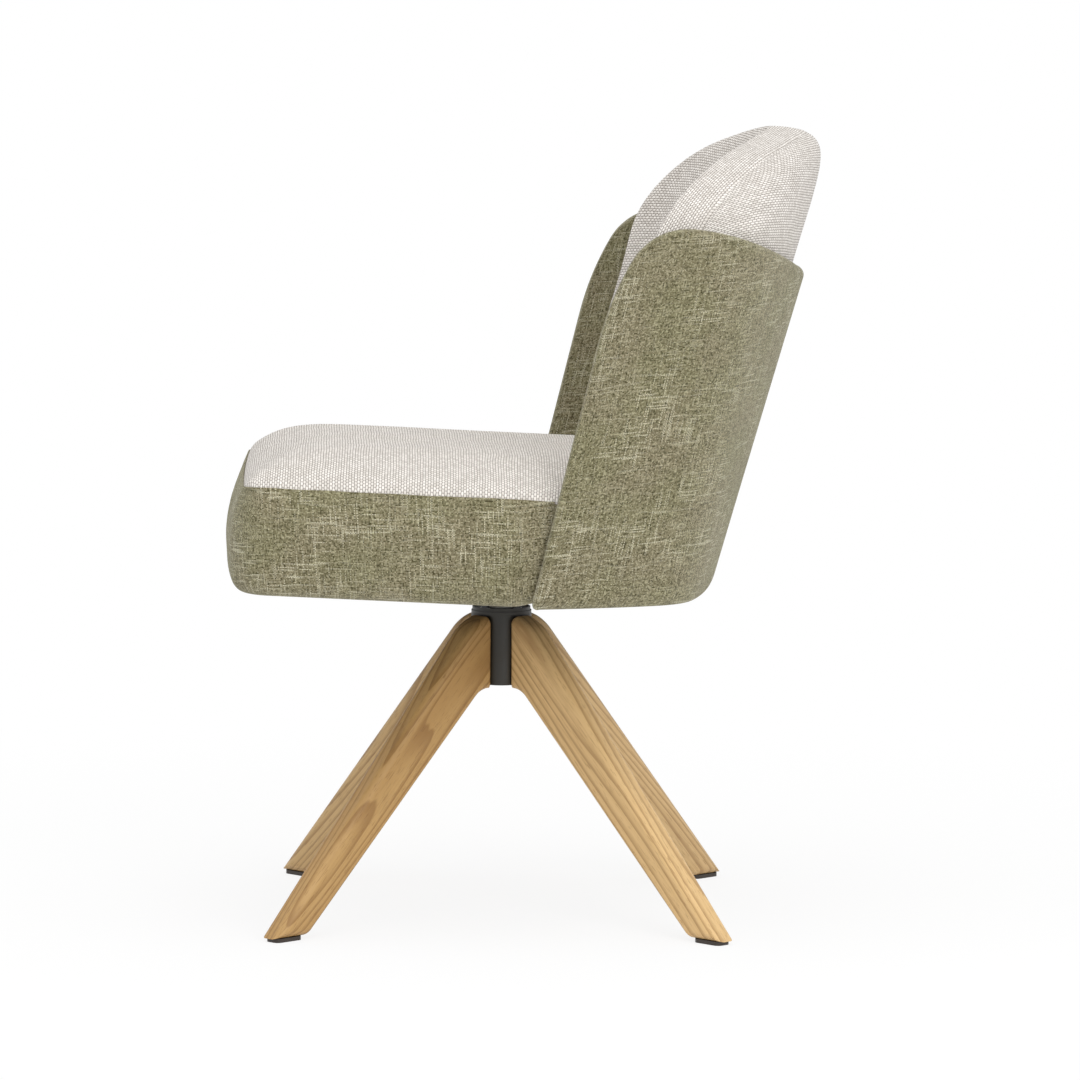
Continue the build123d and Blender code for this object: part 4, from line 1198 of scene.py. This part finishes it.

# %% [markdown]
# Each leg has its own piece of oak, so each has its own grain. Its first axis runs down the leg,
# worked out from where the leg's top and foot stand in the frame. Each leg's oak colours are also
# scaled by a tone, and that tone is painted light and shade: lighter on the rear-left leg, which
# faces the side lamp, and darker on the front legs.

# %% Finish: oak and other wood
def wood_finish(name, along, start, light, middle, dark, rings):
    finish, tree, surface = new_finish(name)
    along = Vector(along).normalized()
    across = along.cross(Vector((0, 0, 1)))
    across = across.normalized() if across.length > 0.01 else Vector((0, 1, 0))
    deep = along.cross(across)
    here = put(tree, "ShaderNodeTexCoord").outputs["Object"]
    moved = vector(tree, "ADD", here, start)[0]
    axes = [vector(tree, "DOT_PRODUCT", moved, axis)["Value"] for axis in (along, across, deep)]
    effect = with_effect(tree, grain, joined(tree, *axes), Rings=rings)
    wood = blended(tree, between(tree, effect["Figure"], 0.3, 0.7), light, middle)
    wood = blended(tree, between(tree, effect["Streak"], 0.35, 0.75, 0.0, 0.55), wood, middle)
    wood = blended(tree, times(tree, effect["Ring"], 0.62), wood, dark)
    wood = blended(tree, times(tree, effect["Pore"], 0.5), wood, dark)
    tree.links.new(wood, surface.inputs["Base Color"])
    gloss = between(tree, effect["Streak"], 0.2, 0.8, 0.42, 0.56)
    tree.links.new(gloss, surface.inputs["Roughness"])
    fixed(surface, {"Specular IOR Level": 0.4})
    relief = times_plus(tree, effect["Pore"], -0.7, effect["Streak"])
    raised(tree, surface, relief, 0.00025, 0.6)
    return finish


oak_light, oak_middle, oak_dark = (0.640, 0.440, 0.215), (0.530, 0.345, 0.155), (0.290, 0.155, 0.055)


# Painted light and shade: a leg's oak colour, scaled by that leg's tone.
def with_painted_light_and_shade(colour, tone):
    return tuple(v * t for v, t in zip(colour, tone)) + (1,)


# Each leg's tone is painted light and shade: above 1 on the rear-left leg, which faces the side lamp, and below 1
# on the front legs, which are in shade.
corners = {
    "front_left": (1, -1, (0.81, 0.73, 0.58)),
    "front_right": (-1, -1, (0.96, 0.94, 0.90)),
    "rear_left": (1, 1, (1.13, 1.12, 1.08)),
    "rear_right": (-1, 1, (1.0, 1.0, 1.0)),
}
leg_finishes = {}
for number, (corner, (sign_x, sign_y, tone)) in enumerate(corners.items()):
    angle = atan2(sign_y, sign_x) + base_turn
    down_leg = (cos(angle) * 0.72, sin(angle) * 0.72, -0.69)
    start = (0.31 * number, 0.17 * number, 0.023 * number)
    leg_finishes[corner] = wood_finish(
        "oak_leg_" + corner, down_leg, start,
        with_painted_light_and_shade(oak_light, tone), with_painted_light_and_shade(oak_middle, tone), with_painted_light_and_shade(oak_dark, tone), 9.0,
    )
ply_finish = wood_finish(
    "plywood_edge", (1, 0, 0), (0, 0, 0),
    (0.66, 0.50, 0.33, 1), (0.58, 0.42, 0.26, 1), (0.40, 0.27, 0.15, 1), 5.0,
)
beech_finish = wood_finish(
    "beech_dowel", (1, 1, 0), (0, 0, 0),
    (0.70, 0.53, 0.36, 1), (0.62, 0.45, 0.29, 1), (0.50, 0.33, 0.2, 1), 4.0,
)
print("wood finishes:", len(leg_finishes) + 2)


# %% [markdown]
# Hard finishes: black powder coat on the hub and brackets, zinc on most fasteners, black oxide on
# the screws that can be seen, brass in the legs and plastic under them.

# %% Finishes: metal, plastic and lining
def hard_finish(name, colour, metal, rough, spread_of_gloss, relief):
    finish, tree, surface = new_finish(name)
    here = put(tree, "ShaderNodeTexCoord").outputs["Object"]
    effect = with_effect(tree, uneven, here)
    lighter = tuple(min(1.0, v * 1.25 + 0.004) for v in colour) + (1,)
    darker = tuple(v * 0.85 for v in colour) + (1,)
    tree.links.new(blended(tree, effect["Cloud"], darker, lighter), surface.inputs["Base Color"])
    gloss = between(tree, effect["Cloud"], 0.3, 0.7, rough - spread_of_gloss, rough + spread_of_gloss)
    tree.links.new(gloss, surface.inputs["Roughness"])
    fixed(surface, {"Metallic": metal})
    raised(tree, surface, effect["Peel"], relief, 0.5)
    return finish


hard_finishes = {
    "black_metal": hard_finish("black_powder_coat", (0.019, 0.016, 0.010), 0.0, 0.46, 0.06, 0.00010),
    "zinc_steel": hard_finish("zinc_plate", (0.62, 0.62, 0.60), 1.0, 0.30, 0.08, 0.00003),
    "dark_steel": hard_finish("black_oxide", (0.07, 0.07, 0.07), 1.0, 0.36, 0.06, 0.00003),
    "insert_brass": hard_finish("plain_brass", (0.78, 0.60, 0.28), 1.0, 0.32, 0.06, 0.00003),
    "bush_plastic": hard_finish("bush_plastic", (0.74, 0.73, 0.69), 0.0, 0.45, 0.05, 0.00004),
    "glide_plastic": hard_finish("glide_plastic", (0.030, 0.020, 0.014), 0.0, 0.42, 0.06, 0.00006),
    "black_cloth": hard_finish("black_lining", (0.030, 0.030, 0.030), 0.0, 0.92, 0.04, 0.00030),
    "plywood": ply_finish,
    "dowel_beech": beech_finish,
}
slot_of = {part["node"]: part["material_slot"] for part in frame["record"]["subparts"]}
painted = 0
for name, piece in frame["nodes"].items():
    slot = slot_of[name]
    finish = leg_finishes[name[4:]] if slot == "oak" else hard_finishes.get(slot)
    if finish is None:
        finish = green_cloth_finish if slot == "green_fabric" else cream_cloth_finish
    piece.data.materials.clear()
    piece.data.materials.append(finish)
    painted += 1
for piece in (back_shell, seat_band):
    piece.data.materials.append(green_cloth_finish)
for piece in (seat_top, back_cushion):
    piece.data.materials.append(cream_cloth_finish)
print("pieces given a finish:", painted + 4)

# %% [markdown]
# The photograph was taken from the sitter's left with a long lens, a little above the seat.
# The camera stands where that view was found from the feet and the hub.

# %% Camera
def photo_camera():
    place = Vector((6.2196, -0.1715 + axis_y, 1.0118))
    forward = Vector((-0.99436, 0.03372, -0.1005)).normalized()
    roll = radians(0.3606)
    lens_in_widths = 6065.4 / 1080.0
    level = forward.cross(Vector((0, 0, 1))).normalized()
    rise = level.cross(forward)
    right = level * cos(roll) + rise * sin(roll)
    up = rise * cos(roll) - level * sin(roll)
    data = bpy.data.cameras.new("photo_view")
    data.sensor_width = 36.0
    data.lens = data.sensor_width * lens_in_widths
    camera = bpy.data.objects.new("photo_view", data)
    camera.matrix_world = Matrix((
        (right.x, up.x, -forward.x, place.x),
        (right.y, up.y, -forward.y, place.y),
        (right.z, up.z, -forward.z, place.z),
        (0, 0, 0, 1),
    ))
    scene.collection.objects.link(camera)
    scene.camera = camera
    print("lens", round(data.lens, 1), "mm")


photo_camera()

# %% [markdown]
# Studio light: a broad soft lamp above and a weaker one from the camera's side, in a pale room
# whose walls show pure white. The floor is pale too and fades to white away from the chair, so
# that only the soft shadow round the feet shows.

# %% Lights and floor
lamp_aim = Vector((0, 0, 0.4))


def area_lamp(name, place, size, watts):
    data = bpy.data.lights.new(name, "AREA")
    data.shape = "DISK"
    data.size = size
    data.energy = watts
    lamp = bpy.data.objects.new(name, data)
    turn = (lamp_aim - Vector(place)).to_track_quat("-Z", "Y")
    lamp.matrix_world = Matrix.Translation(place) @ turn.to_matrix().to_4x4()
    scene.collection.objects.link(lamp)


area_lamp("lamp_above", (0.8, -0.2, 3.4), 3.0, 36)
area_lamp("lamp_side", (3.1, 1.3, 1.5), 2.0, 36)


def seen_directly(tree):
    """1 where the camera sees the surroundings, or sees them in metal or through glass."""
    rays = put(tree, "ShaderNodeLightPath").outputs
    either = calc(tree, "MAXIMUM", rays["Is Camera Ray"], rays["Is Glossy Ray"])
    return calc(tree, "MAXIMUM", either, rays["Is Transmission Ray"])


room = bpy.data.worlds.new("studio")
scene.world = room
room.use_nodes = True
sky = room.node_tree.nodes["Background"]
seen = seen_directly(room.node_tree)
glow = put(room.node_tree, "ShaderNodeMapRange", {"Value": seen, "To Min": 0.78, "To Max": 1.0})
room.node_tree.links.new(glow.outputs[0], sky.inputs["Strength"])
sky.inputs["Color"].default_value = (1.0, 1.0, 1.0, 1.0)

reach = 40.0
floor_mesh = bpy.data.meshes.new("studio_floor")
floor_mesh.from_pydata(
    [(-reach, -reach, 0), (reach, -reach, 0), (reach, reach, 0), (-reach, reach, 0)], [], [(0, 1, 2, 3)]
)
studio_floor = bpy.data.objects.new("studio_floor", floor_mesh)
scene.collection.objects.link(studio_floor)
floor_finish, tree, surface = new_finish("pale_floor")
fixed(surface, {"Base Color": (0.92, 0.92, 0.92, 1), "Roughness": 0.9, "Specular IOR Level": 0.0})
here = put(tree, "ShaderNodeTexCoord").outputs["Object"]
away = vector(tree, "LENGTH", here)["Value"]
bright = put(tree, "ShaderNodeEmission", {"Color": (1, 1, 1, 1), "Strength": 1.0})
white = times(tree, seen_directly(tree), between(tree, away, 0.45, 1.5, 0.84, 1.0))
fade = put(tree, "ShaderNodeMixShader", {0: white, 1: surface.outputs[0], 2: bright.outputs[0]})
tree.links.new(fade.outputs[0], tree.nodes["Material Output"].inputs["Surface"])
studio_floor.data.materials.append(floor_finish)
scene.view_settings.view_transform = "Standard"
